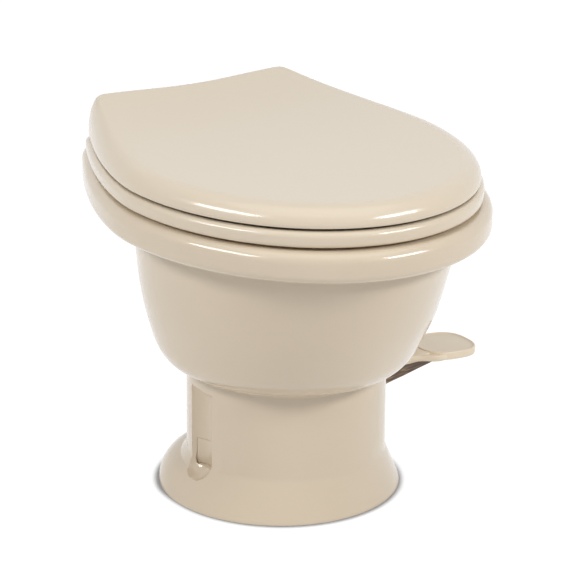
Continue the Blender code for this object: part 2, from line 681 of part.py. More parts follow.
def make_hinge():
    """Posts bolted to the rim, the pins through them, and the bolts with their wing nuts."""
    post_x = (HINGE_X - POST_WIDE / 2, HINGE_X + POST_WIDE / 2)
    plate_x = (post_x[0], LID_ARM_X + ARM_WIDE / 2)
    plate_y = (POST_BOLT_Y - 2 * BOLT_R - 2 * MM, HINGE_Y + HINGE_ROUND)
    low = RIM_Z + GAP
    for side, name in ((-1, "left"), (1, "right")):
        xs = sorted((side * plate_x[0], side * plate_x[1]))
        post = solid("hinge_post_" + name, block((xs[0], plate_y[0], low),
                                                 (xs[1], plate_y[1], low + POST_PLATE)), bone_plastic())
        outline = [(HINGE_Y - HINGE_ROUND, low + SINK), (HINGE_Y + HINGE_ROUND, low + SINK)]
        outline += arc((HINGE_Y, HINGE_Z), HINGE_ROUND, 0, 180, 8)
        xs = sorted((side * post_x[0], side * post_x[1]))
        combine(post, prism(outline, xs[0], xs[1], "X"), "UNION")
        combine(post, pin_hole(side))
        combine(post, turned([(BOLT_R + GAP, low - OVERRUN), (BOLT_R + GAP, low + POST_PLATE + OVERRUN)],
                             centre=(side * POST_BOLT_X, POST_BOLT_Y, 0.0)))
    pins = []
    inner = SEAT_ARM_X - ARM_WIDE / 2 - GAP
    outer = LID_ARM_X + ARM_WIDE / 2 + GAP
    for side in (-1, 1):
        profile = [(PIN_HEAD_R, inner - PIN_HEAD), (PIN_HEAD_R, inner), (PIN_R, inner),
                   (PIN_R, outer + PIN_HEAD)]
        pins.append(turned([(r, side * h) for r, h in profile], "X", (0.0, HINGE_Y, HINGE_Z)))
    each("hinge_pin", SIDES, pins, steel())
    caps = []
    for side in (-1, 1):
        cap = turned([(r, side * h) for r, h in ((PIN_R + GAP, outer), (PIN_HEAD_R, outer),
                                                 (PIN_HEAD_R, outer + PIN_HEAD),
                                                 (PIN_R + GAP, outer + PIN_HEAD))],
                     "X", (0.0, HINGE_Y, HINGE_Z), loop=True)
        caps.append(cap)
    each("hinge_clip", SIDES, caps, steel())
    bolts = []
    lip_z = RIM_Z - LIP_HEIGHT
    head = low + POST_PLATE + GAP
    for side in (-1, 1):
        centre = (side * POST_BOLT_X, POST_BOLT_Y, 0.0)
        bolts.append(turned([(BOLT_R, lip_z - WING_HIGH - 2 * GAP), (BOLT_R, head),
                             (1.7 * BOLT_R, head), (1.7 * BOLT_R, head + BOLT_R)], centre=centre))
        nut = solid("wing_nut_" + SIDES[side > 0],
                    turned(ring_profile(BOLT_R + GAP, 2 * BOLT_R, lip_z - GAP - WING_HIGH, lip_z - GAP),
                           centre=centre, loop=True), white_plastic())
        for way in (-1, 1):
            xs = sorted((centre[0] + way * 1.8 * BOLT_R, centre[0] + way * WING_REACH))
            combine(nut, block((xs[0], POST_BOLT_Y - WING_THICK / 2, lip_z - WING_HIGH),
                               (xs[1], POST_BOLT_Y + WING_THICK / 2, lip_z - 2 * MM)), "UNION")
    each("seat_bolt", SIDES, bolts, white_plastic())


WING_HIGH = 9 * MM
WING_REACH = 17 * MM
WING_THICK = 3 * MM


CORNERS = ("right", "left", "front_right", "front_left")
FRONT_BUMPER_SHARE = 0.66     # how far towards the nose the front pads sit
PEG_SHARE = 0.5               # and the lid's pegs


def ring_middle(y):
    """Half width of the middle of the seat's ring at a distance from its widest line."""
    outside = (LID_HALF + SEAT_PROUD) * math.sqrt(1 - (y / (LID_NOSE + SEAT_PROUD)) ** 2)
    inside = SEAT_HOLE_HALF * math.sqrt(1 - (y / SEAT_HOLE_NOSE) ** 2)
    return (outside + inside) / 2


def make_bumpers():
    """Pads under the seat, and pegs that stand down from the lid's ceiling to the seat."""
    pads = []
    pegs = []
    front = -SEAT_HOLE_NOSE * FRONT_BUMPER_SHARE
    for x, y in ((ring_middle(0.0), 0.0), (-ring_middle(0.0), 0.0),
                 (ring_middle(front), front), (-ring_middle(front), front)):
        pads.append(turned([(BUMPER_R, RIM_Z + GAP), (BUMPER_R, SEAT_Z - GAP)], centre=(x, y, 0.0)))
    peg_y = -SEAT_HOLE_NOSE * PEG_SHARE
    peg_x = ring_middle(peg_y)
    ceiling = LID_Z + LID_EDGE + lid_rise(peg_x, peg_y) - LID_WALL
    for x in (-peg_x, peg_x):
        pegs.append(turned([(PEG_R, SEAT_TOP_Z + GAP), (PEG_R, ceiling - 2 * GAP)], centre=(x, peg_y, 0.0)))
    each("seat_bumper", CORNERS, pads, rubber())
    each("lid_bumper", SIDES, pegs, rubber())


# Flush valve

CHAMBER_X = 52 * MM
CHAMBER_Y = 36 * MM
CHAMBER_WALL = 3 * MM
CHAMBER_ROUND = 6 * MM
CHAMBER_TOP_Z = 126 * MM
CHAMBER_PLATE = 5 * MM
CHAMBER_LOW_Z = 24 * MM
COLLAR_HOLE_R = 35 * MM
COLLAR_NECK_R = 38 * MM
COLLAR_FLANGE = 3.7 * MM
FOOT_FLANGE_R = FLOOR_BOLT_X - 14 * MM
FOOT_FLANGE = 4 * MM
SPIGOT_WALL = 3 * MM
SPIGOT_LOW_Z = 2 * MM
BALL_JOURNAL_R = 6 * MM
BALL_SQUARE = 4 * MM
PEDAL_JOURNAL_R = 5.9 * MM
PEDAL_SQUARE = 4 * MM
BUSH_WALL = 2.2 * MM
BOSS_WALL = 3.5 * MM
BOSS_PROUD = 1.5 * MM
EAR_IN_Y = 31 * MM
GEAR_THICK = 6 * MM
GEAR_Y = -47 * MM             # front face of both gears


def bush_bore(journal):
    """Radius of the bore that holds a bush round a journal."""
    return journal + 2 * GAP + BUSH_WALL


def make_valve_body():
    """Chamber round the ball, with a clamped collar on top, a drain spigot and shaft bosses."""
    outer = box_plan(CHAMBER_X + CHAMBER_WALL, CHAMBER_Y + CHAMBER_WALL, CHAMBER_ROUND, ROUND_POINTS)
    inner = box_plan(CHAMBER_X, CHAMBER_Y, CHAMBER_ROUND - CHAMBER_WALL, ROUND_POINTS)
    web = WEB_Z + WEB_THICK + GAP
    rings = [
        level(circle(SPIGOT_R), SPIGOT_LOW_Z),
        level(circle(SPIGOT_R), web),
        level(circle(FOOT_FLANGE_R), web),
        level(circle(FOOT_FLANGE_R), web + FOOT_FLANGE),
        level(outer, web + FOOT_FLANGE + SINK),
        level(outer, CHAMBER_TOP_Z),
        level(circle(COLLAR_NECK_R), CHAMBER_TOP_Z),
        level(circle(COLLAR_NECK_R), OUTLET_Z - GAP - COLLAR_FLANGE),
        level(circle(OUTLET_FLANGE_R), OUTLET_Z - GAP - COLLAR_FLANGE),
        level(circle(OUTLET_FLANGE_R), OUTLET_Z - GAP),
        level(circle(COLLAR_HOLE_R), OUTLET_Z - GAP),
        level(circle(COLLAR_HOLE_R), CHAMBER_TOP_Z - CHAMBER_PLATE),
        level(inner, CHAMBER_TOP_Z - CHAMBER_PLATE),
        level(inner, CHAMBER_LOW_Z),
        level(circle(SPIGOT_R - SPIGOT_WALL), web),
        level(circle(SPIGOT_R - SPIGOT_WALL), SPIGOT_LOW_Z),
    ]
    body = solid("valve_body", loft(rings, loop=True), black_plastic())
    wall_y = CHAMBER_Y + CHAMBER_WALL
    for side in (-1, 1):
        span = sorted((side * (CHAMBER_Y + SINK), side * (wall_y + BOSS_PROUD)))
        bore = bush_bore(BALL_JOURNAL_R)
        combine(body, turned([(bore + BOSS_WALL, span[0]), (bore + BOSS_WALL, span[1])], "Y",
                             (0.0, 0.0, BALL_Z)), "UNION")
        span = sorted((side * (CHAMBER_Y - OVERRUN), side * (wall_y + BOSS_PROUD + OVERRUN)))
        combine(body, turned([(bore, span[0]), (bore, span[1])], "Y", (0.0, 0.0, BALL_Z)))
        bore = bush_bore(PEDAL_JOURNAL_R)
        span = sorted((side * EAR_IN_Y, side * wall_y))
        radius = bore + BOSS_WALL - 1 * MM
        outline = [(CHAMBER_X + SINK, BALL_Z - radius)]
        outline += arc((PEDAL_X, BALL_Z), radius, -90, 90, 10)
        outline += [(CHAMBER_X + SINK, BALL_Z + radius)]
        combine(body, prism(outline, span[0], span[1], "Y"), "UNION")
        combine(body, turned([(bore, span[0] - OVERRUN), (bore, span[1] + OVERRUN)], "Y",
                             (PEDAL_X, 0.0, BALL_Z)))
    return body


def make_bushes():
    shapes = []
    low = CHAMBER_Y + GAP
    high = CHAMBER_Y + CHAMBER_WALL + BOSS_PROUD
    for side in (-1, 1):
        journal = BALL_JOURNAL_R + GAP
        profile = ring_profile(journal, journal + BUSH_WALL, side * low, side * high)
        shapes.append(turned(profile, "Y", (0.0, 0.0, BALL_Z), loop=True))
    each("ball_shaft_bush", ENDS, shapes, white_plastic())
    shapes = []
    for side in (-1, 1):
        journal = PEDAL_JOURNAL_R + GAP
        profile = ring_profile(journal, journal + BUSH_WALL, side * EAR_IN_Y,
                               side * (CHAMBER_Y + CHAMBER_WALL))
        shapes.append(turned(profile, "Y", (PEDAL_X, 0.0, BALL_Z), loop=True))
    each("pedal_shaft_bush", ENDS, shapes, white_plastic())


SEAL_LIP_R = 26 * MM
SEAL_LIP_Z = 127.2 * MM
CLAMP_WALL = 4 * MM
CLAMP_JAW = 3.5 * MM


def make_ball_seal():
    """Rubber ring between the outlet and the collar, whose lip lies on the ball."""
    outer = COLLAR_HOLE_R - GAP
    lip = SEAL_LIP_R + 3.5 * MM
    ledge = OUTLET_Z - COLLAR_FLANGE
    profile = [(SEAL_LIP_R, SEAL_LIP_Z), (lip, SEAL_LIP_Z), (lip + 2 * MM, ledge), (outer, ledge),
               (outer, OUTLET_Z - GAP), (SEAL_LIP_R, OUTLET_Z - GAP)]
    return solid("ball_seal", turned(profile, count=ROUND_POINTS, loop=True), rubber())


def make_half_clamps():
    """Two half rings that hold the collar to the bowl's outlet flange."""
    inner = COLLAR_NECK_R + 3 * GAP
    groove = OUTLET_FLANGE_R + 3 * GAP
    outer = groove + CLAMP_WALL
    low = OUTLET_Z - GAP - COLLAR_FLANGE - GAP
    high = OUTLET_Z + OUTLET_FLANGE_THICK + GAP
    profile = ((inner, low - CLAMP_JAW), (outer, low - CLAMP_JAW), (outer, high + CLAMP_JAW),
               (inner, high + CLAMP_JAW), (inner, high), (groove, high), (groove, low), (inner, low))
    margin = math.asin(2 * GAP / inner)
    for name, start in (("half_clamp_rear", 0.0), ("half_clamp_front", math.pi)):
        rings = []
        steps = ROUND_POINTS // 2
        for i in range(steps + 1):
            angle = start + margin + (math.pi - 2 * margin) * i / steps
            rings.append([Vector((r * math.cos(angle), r * math.sin(angle), z)) for r, z in profile])
        bm = bmesh.new()
        rows = [[bm.verts.new(p) for p in ring] for ring in rings]
        for a, b in zip(rows, rows[1:]):
            for k in range(len(a)):
                bm.faces.new((a[k - 1], a[k], b[k], b[k - 1]))
        bm.faces.new(rows[0][::-1])
        bm.faces.new(rows[-1])
        solid(name, outward(bm), white_plastic())


EAR_TOP = 40 * MM
EAR_HALF = 9.5 * MM
EAR_LOW = 22 * MM
EAR_HIGH = 27 * MM
EAR_ROUND = 11 * MM


def make_flush_ball():
    """A dish cut from a sphere, on two ears that turn with the shaft."""
    steps = 4
    profile = [(BALL_R * math.sin(BALL_ANGLE * i / steps), BALL_R * math.cos(BALL_ANGLE * i / steps))
               for i in range(1, steps + 1)]
    inside = BALL_R - BALL_WALL
    profile += [(inside * math.sin(BALL_ANGLE * i / steps), inside * math.cos(BALL_ANGLE * i / steps))
                for i in range(steps, 0, -1)]
    rings = [level(circle(r), BALL_Z + h) for r, h in profile]
    bm = loft(rings, crown=True)
    for v in bm.verts:
        if len(v.link_edges) == ROUND_POINTS and abs(v.co.x) + abs(v.co.y) < GAP:
            v.co.z = BALL_Z + (BALL_R if v.co.z > BALL_Z + inside else inside)
    ball = solid("flush_ball", bm, white_plastic(), (0.0, 0.0, BALL_Z))
    for side in (-1, 1):
        ys = sorted((side * EAR_LOW, side * EAR_HIGH))
        outline = [(-EAR_HALF, BALL_Z + EAR_TOP)]
        outline += arc((0.0, BALL_Z), EAR_ROUND, 180, 360, 10)
        outline += [(EAR_HALF, BALL_Z + EAR_TOP)]
        combine(ball, prism(outline, ys[0], ys[1], "Y"), "UNION")
        hole = square_hole((0.0, BALL_Z), BALL_SQUARE + GAP)
        combine(ball, prism(hole, ys[0] - OVERRUN, ys[1] + OVERRUN, "Y"))
    return ball


def stepped_shaft(name, steps, centre, finish):
    """A shaft along Y from (position, size, shape) steps, round or square."""
    rings = []
    for (start, size, shape), (end, _, _) in zip(steps, steps[1:]):
        plan = circle(size, SMALL_POINTS) if shape == "round" else square(size)
        rings.append(level(plan, start))
        rings.append(level(plan, end))
    return solid(name, turned_to(loft(rings), "Y", centre), finish, centre)


CLIP_R = 7.5 * MM
CLIP_THICK = 1.2 * MM
CLIP_GROOVE = 0.6 * MM
SHAFT_END = 3 * MM
PIVOT_HEAD_R = 8 * MM


def gear_end(square_half):
    """Steps of a shaft's front end: end piece, clip groove and the square that carries the gear."""
    front = GEAR_Y - GAP
    return ((front - CLIP_THICK - 2 * GAP - SHAFT_END, square_half, "square"),
            (front - CLIP_THICK - GAP, square_half - CLIP_GROOVE, "round"),
            (front + GAP / 2, square_half, "square"))


def gear_clip(square_half, centre):
    front = GEAR_Y - GAP
    return turned(ring_profile(square_half - CLIP_GROOVE + GAP, CLIP_R, front - CLIP_THICK, front),
                  "Y", centre, loop=True)


def make_ball_shafts():
    """The geared shaft in the front ear and the headed pivot in the rear one."""
    centre = (0.0, 0.0, BALL_Z)
    wall = CHAMBER_Y + CHAMBER_WALL + BOSS_PROUD
    steps = gear_end(BALL_SQUARE) + ((-wall, BALL_JOURNAL_R, "round"),
                                     (-CHAMBER_Y + GAP, BALL_SQUARE, "square"),
                                     (-EAR_LOW + GAP, BALL_SQUARE, "square"))
    stepped_shaft("ball_shaft", steps, centre, steel())
    steps = ((EAR_LOW - GAP, BALL_SQUARE, "square"), (CHAMBER_Y - GAP, BALL_JOURNAL_R, "round"),
             (wall + GAP, PIVOT_HEAD_R, "round"), (wall + SHAFT_END, PIVOT_HEAD_R, "round"))
    stepped_shaft("ball_pivot", steps, centre, steel())
    solid("ball_shaft_clip", gear_clip(BALL_SQUARE, centre), steel(), centre)


# Gears

PRESSURE = math.radians(20)
BACKLASH = 0.45 * MM


def tooth(teeth, angle):
    """One tooth of an involute gear round its centre angle, root to root."""
    pitch = MODULE * teeth / 2
    base = pitch * math.cos(PRESSURE)
    tip = pitch + MODULE * 0.9
    root = pitch - MODULE * 1.2
    half = (math.pi * MODULE / 2 - BACKLASH) / (2 * pitch) + math.tan(PRESSURE) - PRESSURE
    flank = []
    low = max(base, root)
    for i in range(3):
        radius = low + (tip - low) * i / 2
        alpha = math.acos(min(1.0, base / radius))
        flank.append((radius, half - (math.tan(alpha) - alpha)))
    if base > root:
        flank.insert(0, (root, half))
    points = [(r, angle - a) for r, a in flank] + [(r, angle + a) for r, a in reversed(flank)]
    return [(r * math.cos(a), r * math.sin(a)) for r, a in points]


def make_ball_gear():
    centre = (0.0, 0.0, BALL_Z)
    outline = []
    for i in range(BALL_TEETH):
        outline += tooth(BALL_TEETH, 2 * math.pi * (i + 0.5) / BALL_TEETH)
    bm = turned_to(loft([level(outline, GEAR_Y), level(outline, GEAR_Y + GEAR_THICK)]), "Y", centre)
    gear = solid("ball_gear", bm, white_plastic(), centre)
    hole = square_hole((0.0, BALL_Z), BALL_SQUARE + GAP)
    combine(gear, prism(hole, GEAR_Y - OVERRUN, GEAR_Y + GEAR_THICK + OVERRUN, "Y"))
    return gear


SECTOR_HUB_R = 9 * MM


def make_sector_gear():
    """The toothed sector on the pedal's shaft, with only the teeth that its travel uses."""
    centre = (PEDAL_X, 0.0, BALL_Z)
    step = 2 * math.pi / SECTOR_TEETH
    outline = []
    for i in range(-1, 6):
        outline += tooth(SECTOR_TEETH, math.pi + i * step)
    outline += [(SECTOR_HUB_R * math.cos(a), SECTOR_HUB_R * math.sin(a))
                for a in (math.radians(-95 + 20 * i) for i in range(12))]
    bm = turned_to(loft([level(outline, GEAR_Y), level(outline, GEAR_Y + GEAR_THICK)]), "Y", centre)
    gear = solid("sector_gear", bm, white_plastic(), centre)
    hole = square_hole((PEDAL_X, BALL_Z), PEDAL_SQUARE + GAP)
    combine(gear, prism(hole, GEAR_Y - OVERRUN, GEAR_Y + GEAR_THICK + OVERRUN, "Y"))
    return gear


# Pedal

PEDAL_TRAVEL = math.radians(32)
HUB_R = 12 * MM
HUB_HALF = 17 * MM
ARM_HALF = 15 * MM
PADDLE_X = 195 * MM
PADDLE_Z = 121.5 * MM
PADDLE_LONG = 43 * MM         # half length along X
PADDLE_HALF = 29 * MM
PADDLE_THICK = 12.5 * MM
PADDLE_TILT = math.radians(11)
RIB_THICK = 2.5 * MM
SKIN = 4 * MM


def make_pedal():
    """A round paddle on an arm: a top skin over long ribs, open in front, behind and below."""
    pivot = (PEDAL_X, 0.0, BALL_Z)
    pedal = solid("pedal", turned([(HUB_R, -HUB_HALF), (HUB_R, HUB_HALF)], "Y", pivot,
                                  count=ROUND_POINTS), bone_plastic(), pivot)
    inner = (PADDLE_X - PADDLE_LONG * 0.8, PADDLE_Z + PADDLE_LONG * 0.8 * math.sin(PADDLE_TILT))
    top = [(PEDAL_X - HUB_R * 0.2, BALL_Z + HUB_R * 0.9), (PEDAL_X + 2.6 * HUB_R, BALL_Z + 1.5 * HUB_R),
           (PEDAL_X + 4.6 * HUB_R, BALL_Z + 2.3 * HUB_R), (inner[0], inner[1] - SKIN / 2)]
    skin = top + [(x, z - SKIN) for x, z in reversed(top)]
    combine(pedal, prism(skin, -ARM_HALF, ARM_HALF, "Y"), "UNION")
    web = top + [(inner[0] + PADDLE_LONG * 0.4, inner[1] - 1.8 * PADDLE_THICK),
                 (PEDAL_X + 3 * HUB_R, BALL_Z + 0.1 * HUB_R), (PEDAL_X, BALL_Z - HUB_R * 0.9)]
    for y in (-ARM_HALF, -ARM_HALF / 3, ARM_HALF / 3, ARM_HALF):
        low = min(max(y - RIB_THICK / 2, -ARM_HALF), ARM_HALF - RIB_THICK)
        combine(pedal, prism(web, low, low + RIB_THICK, "Y"), "UNION")
    rings = []
    plan = egg(PADDLE_HALF, PADDLE_LONG, PADDLE_LONG, count=ROUND_POINTS)
    plan = [(-y, x) for x, y in plan]
    edge = PADDLE_THICK / 3
    for across, z in ((edge, -PADDLE_THICK), (0.0, edge - PADDLE_THICK), (0.0, -edge), (edge / 3, -edge / 3),
                      (edge, 0.0)):
        rings.append(level(inset(plan, across), z))
    paddle = loft(rings)
    paddle.transform(Matrix.Translation((PADDLE_X, 0.0, PADDLE_Z)) @ Matrix.Rotation(PADDLE_TILT, 4, "Y"))
    combine(pedal, paddle, "UNION")
    hole = square_hole((PEDAL_X, BALL_Z), PEDAL_SQUARE + GAP)
    combine(pedal, prism(hole, -HUB_HALF - OVERRUN, HUB_HALF + OVERRUN, "Y"))
    return pedal


CAM_Y = 46.5 * MM
CAM_THICK = 5 * MM
CAM_R = 9 * MM
PLUNGER_TRAVEL = 3 * MM
CAM_GAP = 1 * MM
CAM_LOBE = math.radians(55)   # how far round the cam its radius grows
SPRING_WIRE_R = 1.1 * MM
SPRING_R = 9.5 * MM
SPRING_TURNS = 4
SPRING_PITCH = 2.5 * MM
SPRING_LEG = 15 * MM


def make_pedal_shaft():
    centre = (PEDAL_X, 0.0, BALL_Z)
    wall = CHAMBER_Y + CHAMBER_WALL
    rear = CAM_Y + CAM_THICK + GAP
    steps = gear_end(PEDAL_SQUARE) + ((-wall - GAP, PEDAL_JOURNAL_R, "round"),
                                      (-EAR_IN_Y + GAP, PEDAL_SQUARE, "square"),
                                      (EAR_IN_Y - GAP, PEDAL_JOURNAL_R, "round"),
                                      (wall + GAP, PEDAL_SQUARE, "square"),
                                      (rear - GAP / 2, PEDAL_SQUARE - CLIP_GROOVE, "round"),
                                      (rear + CLIP_THICK + GAP, PEDAL_SQUARE, "square"),
                                      (rear + CLIP_THICK + GAP + SHAFT_END, PEDAL_SQUARE, "square"))
    stepped_shaft("pedal_shaft", steps, centre, steel())
    clips = [gear_clip(PEDAL_SQUARE, centre),
             turned(ring_profile(PEDAL_SQUARE - CLIP_GROOVE + GAP, CLIP_R, rear, rear + CLIP_THICK),
                    "Y", centre, loop=True)]
    each("pedal_shaft_clip", ENDS, clips, steel(), centre)
    spacers = []
    for low, high in ((HUB_HALF + GAP, EAR_IN_Y - GAP), (wall + GAP, CAM_Y - GAP)):
        spacers.append(turned(ring_profile(PEDAL_JOURNAL_R + GAP, PEDAL_JOURNAL_R + BUSH_WALL, low, high),
                              "Y", centre, loop=True))
    each("pedal_spacer", ("middle", "rear"), spacers, white_plastic(), centre)


def make_cam():
    """A cam whose radius grows evenly with the pedal's turn, so that the plunger follows in step."""
    centre = (PEDAL_X, 0.0, BALL_Z)
    growth = PLUNGER_TRAVEL / PEDAL_TRAVEL
    outline = []
    for i in range(36):
        turn = 2 * math.pi * i / 36
        fall = max(0.0, CAM_LOBE - (turn - CAM_LOBE))
        radius = CAM_R + growth * min(turn, fall)
        outline.append((radius * math.cos(math.pi + turn), radius * math.sin(math.pi + turn)))
    bm = turned_to(loft([level(outline, CAM_Y), level(outline, CAM_Y + CAM_THICK)]), "Y", centre)
    cam = solid("valve_cam", bm, white_plastic(), centre)
    hole = square_hole((PEDAL_X, BALL_Z), PEDAL_SQUARE + GAP)
    combine(cam, prism(hole, CAM_Y - OVERRUN, CAM_Y + CAM_THICK + OVERRUN, "Y"))
    return cam


def tube(name, points, radius, finish, resolution=2):
    """A round bar along points, with closed ends."""
    curve = bpy.data.curves.new(name, "CURVE")
    curve.dimensions = "3D"
    curve.bevel_depth = radius
    curve.bevel_resolution = resolution
    curve.use_fill_caps = True
    spline = curve.splines.new("POLY")
    spline.points.add(len(points) - 1)
    for place, point in zip(spline.points, points):
        place.co = (*point, 1.0)
    curve.materials.append(finish)
    made = bpy.data.objects.new(name, curve)
    bpy.context.collection.objects.link(made)
    return made


def make_pedal_spring():
    """Torsion spring beside the pedal's hub; its upright leg bears on the valve body."""
    points = []
    per_turn = 10
    low = -HUB_HALF - GAP - SPRING_WIRE_R
    points.append((PEDAL_X, low, BALL_Z - SPRING_R))
    for i in range(SPRING_TURNS * per_turn + 4):
        angle = -math.pi / 2 + 2 * math.pi * i / per_turn
        points.append((PEDAL_X + SPRING_R * math.cos(angle), low - SPRING_PITCH * i / per_turn,
                       BALL_Z + SPRING_R * math.sin(angle)))
    points = points[1:]
    x, y, z = points[-1]
    points.append((x - SPRING_WIRE_R, y, z + SPRING_LEG))
    return tube("pedal_spring", points, SPRING_WIRE_R, steel(), 1)


# Water supply

VALVE_Y = CAM_Y + CAM_THICK / 2
VALVE_R = 9.5 * MM
VALVE_X = (14 * MM, 46 * MM)
PLUNGER_R = 3 * MM
PLUNGER_COLLAR_R = 5 * MM
PLUNGER_BORE = 15 * MM
COLLAR_THICK = 1.5 * MM
INLET_X = 24 * MM
INLET_R = 7 * MM
INLET_END_Y = 116 * MM
OUTLET_PIPE_Z = 105 * MM
OUTLET_PIPE_R = 5 * MM
PIPE_COLLAR = 1 * MM
NUT_R = 12 * MM
NUT_THICK = 5 * MM
COVER_THICK = 4 * MM


def make_water_valve():
    """Valve across the back of the pedestal, held to the rear cover by its inlet's nut."""
    body = solid("water_valve", turned([(VALVE_R, VALVE_X[0]), (VALVE_R, VALVE_X[1])], "X",
                                       (0.0, VALVE_Y, BALL_Z), count=ROUND_POINTS), black_plastic())
    inlet = (INLET_X, 0.0, BALL_Z)
    combine(body, turned([(INLET_R, VALVE_Y + SINK), (INLET_R, INLET_END_Y)], "Y", inlet), "UNION")
    combine(body, turned([(NUT_R, BACK_Y - COLUMN_WALL), (NUT_R, BACK_Y)], "Y", inlet), "UNION")
    combine(body, turned([(OUTLET_PIPE_R + PIPE_COLLAR, BALL_Z), (OUTLET_PIPE_R + PIPE_COLLAR, OUTLET_PIPE_Z)],
                         centre=(INLET_X, VALVE_Y, 0.0)), "UNION")
    combine(body, turned([(OUTLET_PIPE_R, VALVE_Y - SINK), (OUTLET_PIPE_R, INLET_END_Y)], "Y",
                         (INLET_X, 0.0, OUTLET_PIPE_Z)), "UNION")
    bore_start = VALVE_X[1] - PLUNGER_BORE
    combine(body, turned([(PLUNGER_R + GAP, bore_start), (PLUNGER_R + GAP, VALVE_X[1] + OVERRUN)], "X",
                         (0.0, VALVE_Y, BALL_Z)))
    outside = BACK_Y + 2 * GAP + COVER_THICK
    nut = ring_profile(INLET_R + 3 * GAP, NUT_R, outside, outside + NUT_THICK)
    solid("inlet_nut", turned(nut, "Y", inlet, count=SMALL_POINTS, loop=True), white_plastic())
    tip = PEDAL_X - CAM_R - CAM_GAP
    collar = VALVE_X[1] + PLUNGER_TRAVEL + GAP
    profile = [(PLUNGER_R, bore_start + PLUNGER_TRAVEL + GAP), (PLUNGER_R, collar),
               (PLUNGER_COLLAR_R, collar), (PLUNGER_COLLAR_R, collar + COLLAR_THICK),
               (PLUNGER_R, collar + COLLAR_THICK), (PLUNGER_R, tip - PLUNGER_R),
               (PLUNGER_R * 0.8, tip - PLUNGER_R * 0.4), (PLUNGER_R * 0.4, tip)]
    solid("valve_plunger", turned(profile, "X", (0.0, VALVE_Y, BALL_Z)), steel())


def make_rear_cover():
    y = (BACK_Y + GAP, BACK_Y + GAP + COVER_THICK)
    cover = solid("rear_cover", block((-BACK_HALF + GAP, y[0], BACK_LOW_Z + GAP),
                                      (BACK_HALF - GAP, y[1], BACK_HIGH_Z - GAP)), bone_plastic())
    for z, radius in ((BALL_Z, INLET_R), (OUTLET_PIPE_Z, OUTLET_PIPE_R)):
        combine(cover, turned([(radius + GAP, y[0] - OVERRUN), (radius + GAP, y[1] + OVERRUN)], "Y",
                              (INLET_X, 0.0, z)))
    screws = []
    for side in (-1, 1):
        centre = (side * SCREW_X, 0.0, BALL_Z)
        combine(cover, turned([(SCREW_R + GAP, y[0] - OVERRUN), (SCREW_R + GAP, y[1] + OVERRUN)], "Y", centre))
        screws.append(turned([(SCREW_R, BACK_Y - 2 * COLUMN_WALL), (SCREW_R, y[1] + GAP),
                              (2 * SCREW_R, y[1] + GAP), (2 * SCREW_R, y[1] + GAP + SCREW_R)], "Y", centre))
    each("cover_screw", SIDES, screws, steel())


BREAKER_Y = 200 * MM
BREAKER_R = 13 * MM
BREAKER_LOW_Z = 245.5 * MM
BREAKER_HIGH_Z = 291.5 * MM
BREAKER_CAP = 3 * MM
SPIGOT_END_Z = 231.5 * MM
SOCKET_R = 9 * MM
SOCKET_END_Y = 178 * MM
SOCKET_DEEP = 9 * MM
NOZZLE_HEAD_R = 9 * MM
NOZZLE_HEAD = 5 * MM
HOSE_R = 8 * MM


def bend(start, start_pull, end_pull, end, steps):
    """Points of a smooth bend between two ends, pulled towards two others."""
    points = []
    for i in range(steps + 1):
        t = i / steps
        weights = ((1 - t) ** 3, 3 * t * (1 - t) ** 2, 3 * t * t * (1 - t), t ** 3)
        corners = (start, start_pull, end_pull, end)
        points.append(tuple(sum(w * c[k] for w, c in zip(weights, corners)) for k in range(3)))
    return points


def hose(name, path, outer, inner, finish):
    """A hollow hose along a path that never runs along X."""
    frames = []
    for i, point in enumerate(path):
        before = Vector(path[max(i - 1, 0)])
        after = Vector(path[min(i + 1, len(path) - 1)])
        along = (after - before).normalized()
        side = Vector((1.0, 0.0, 0.0))
        side = (side - along * side.dot(along)).normalized()
        frames.append((Vector(point), side, along.cross(side)))

    def section(frame, radius):
        return [frame[0] + frame[1] * x + frame[2] * y for x, y in circle(radius, SMALL_POINTS)]

    skin = [section(frame, outer) for frame in frames]
    bore = [section(frame, inner) for frame in reversed(frames)]
    return solid(name, loft(skin + bore, loop=True), finish)


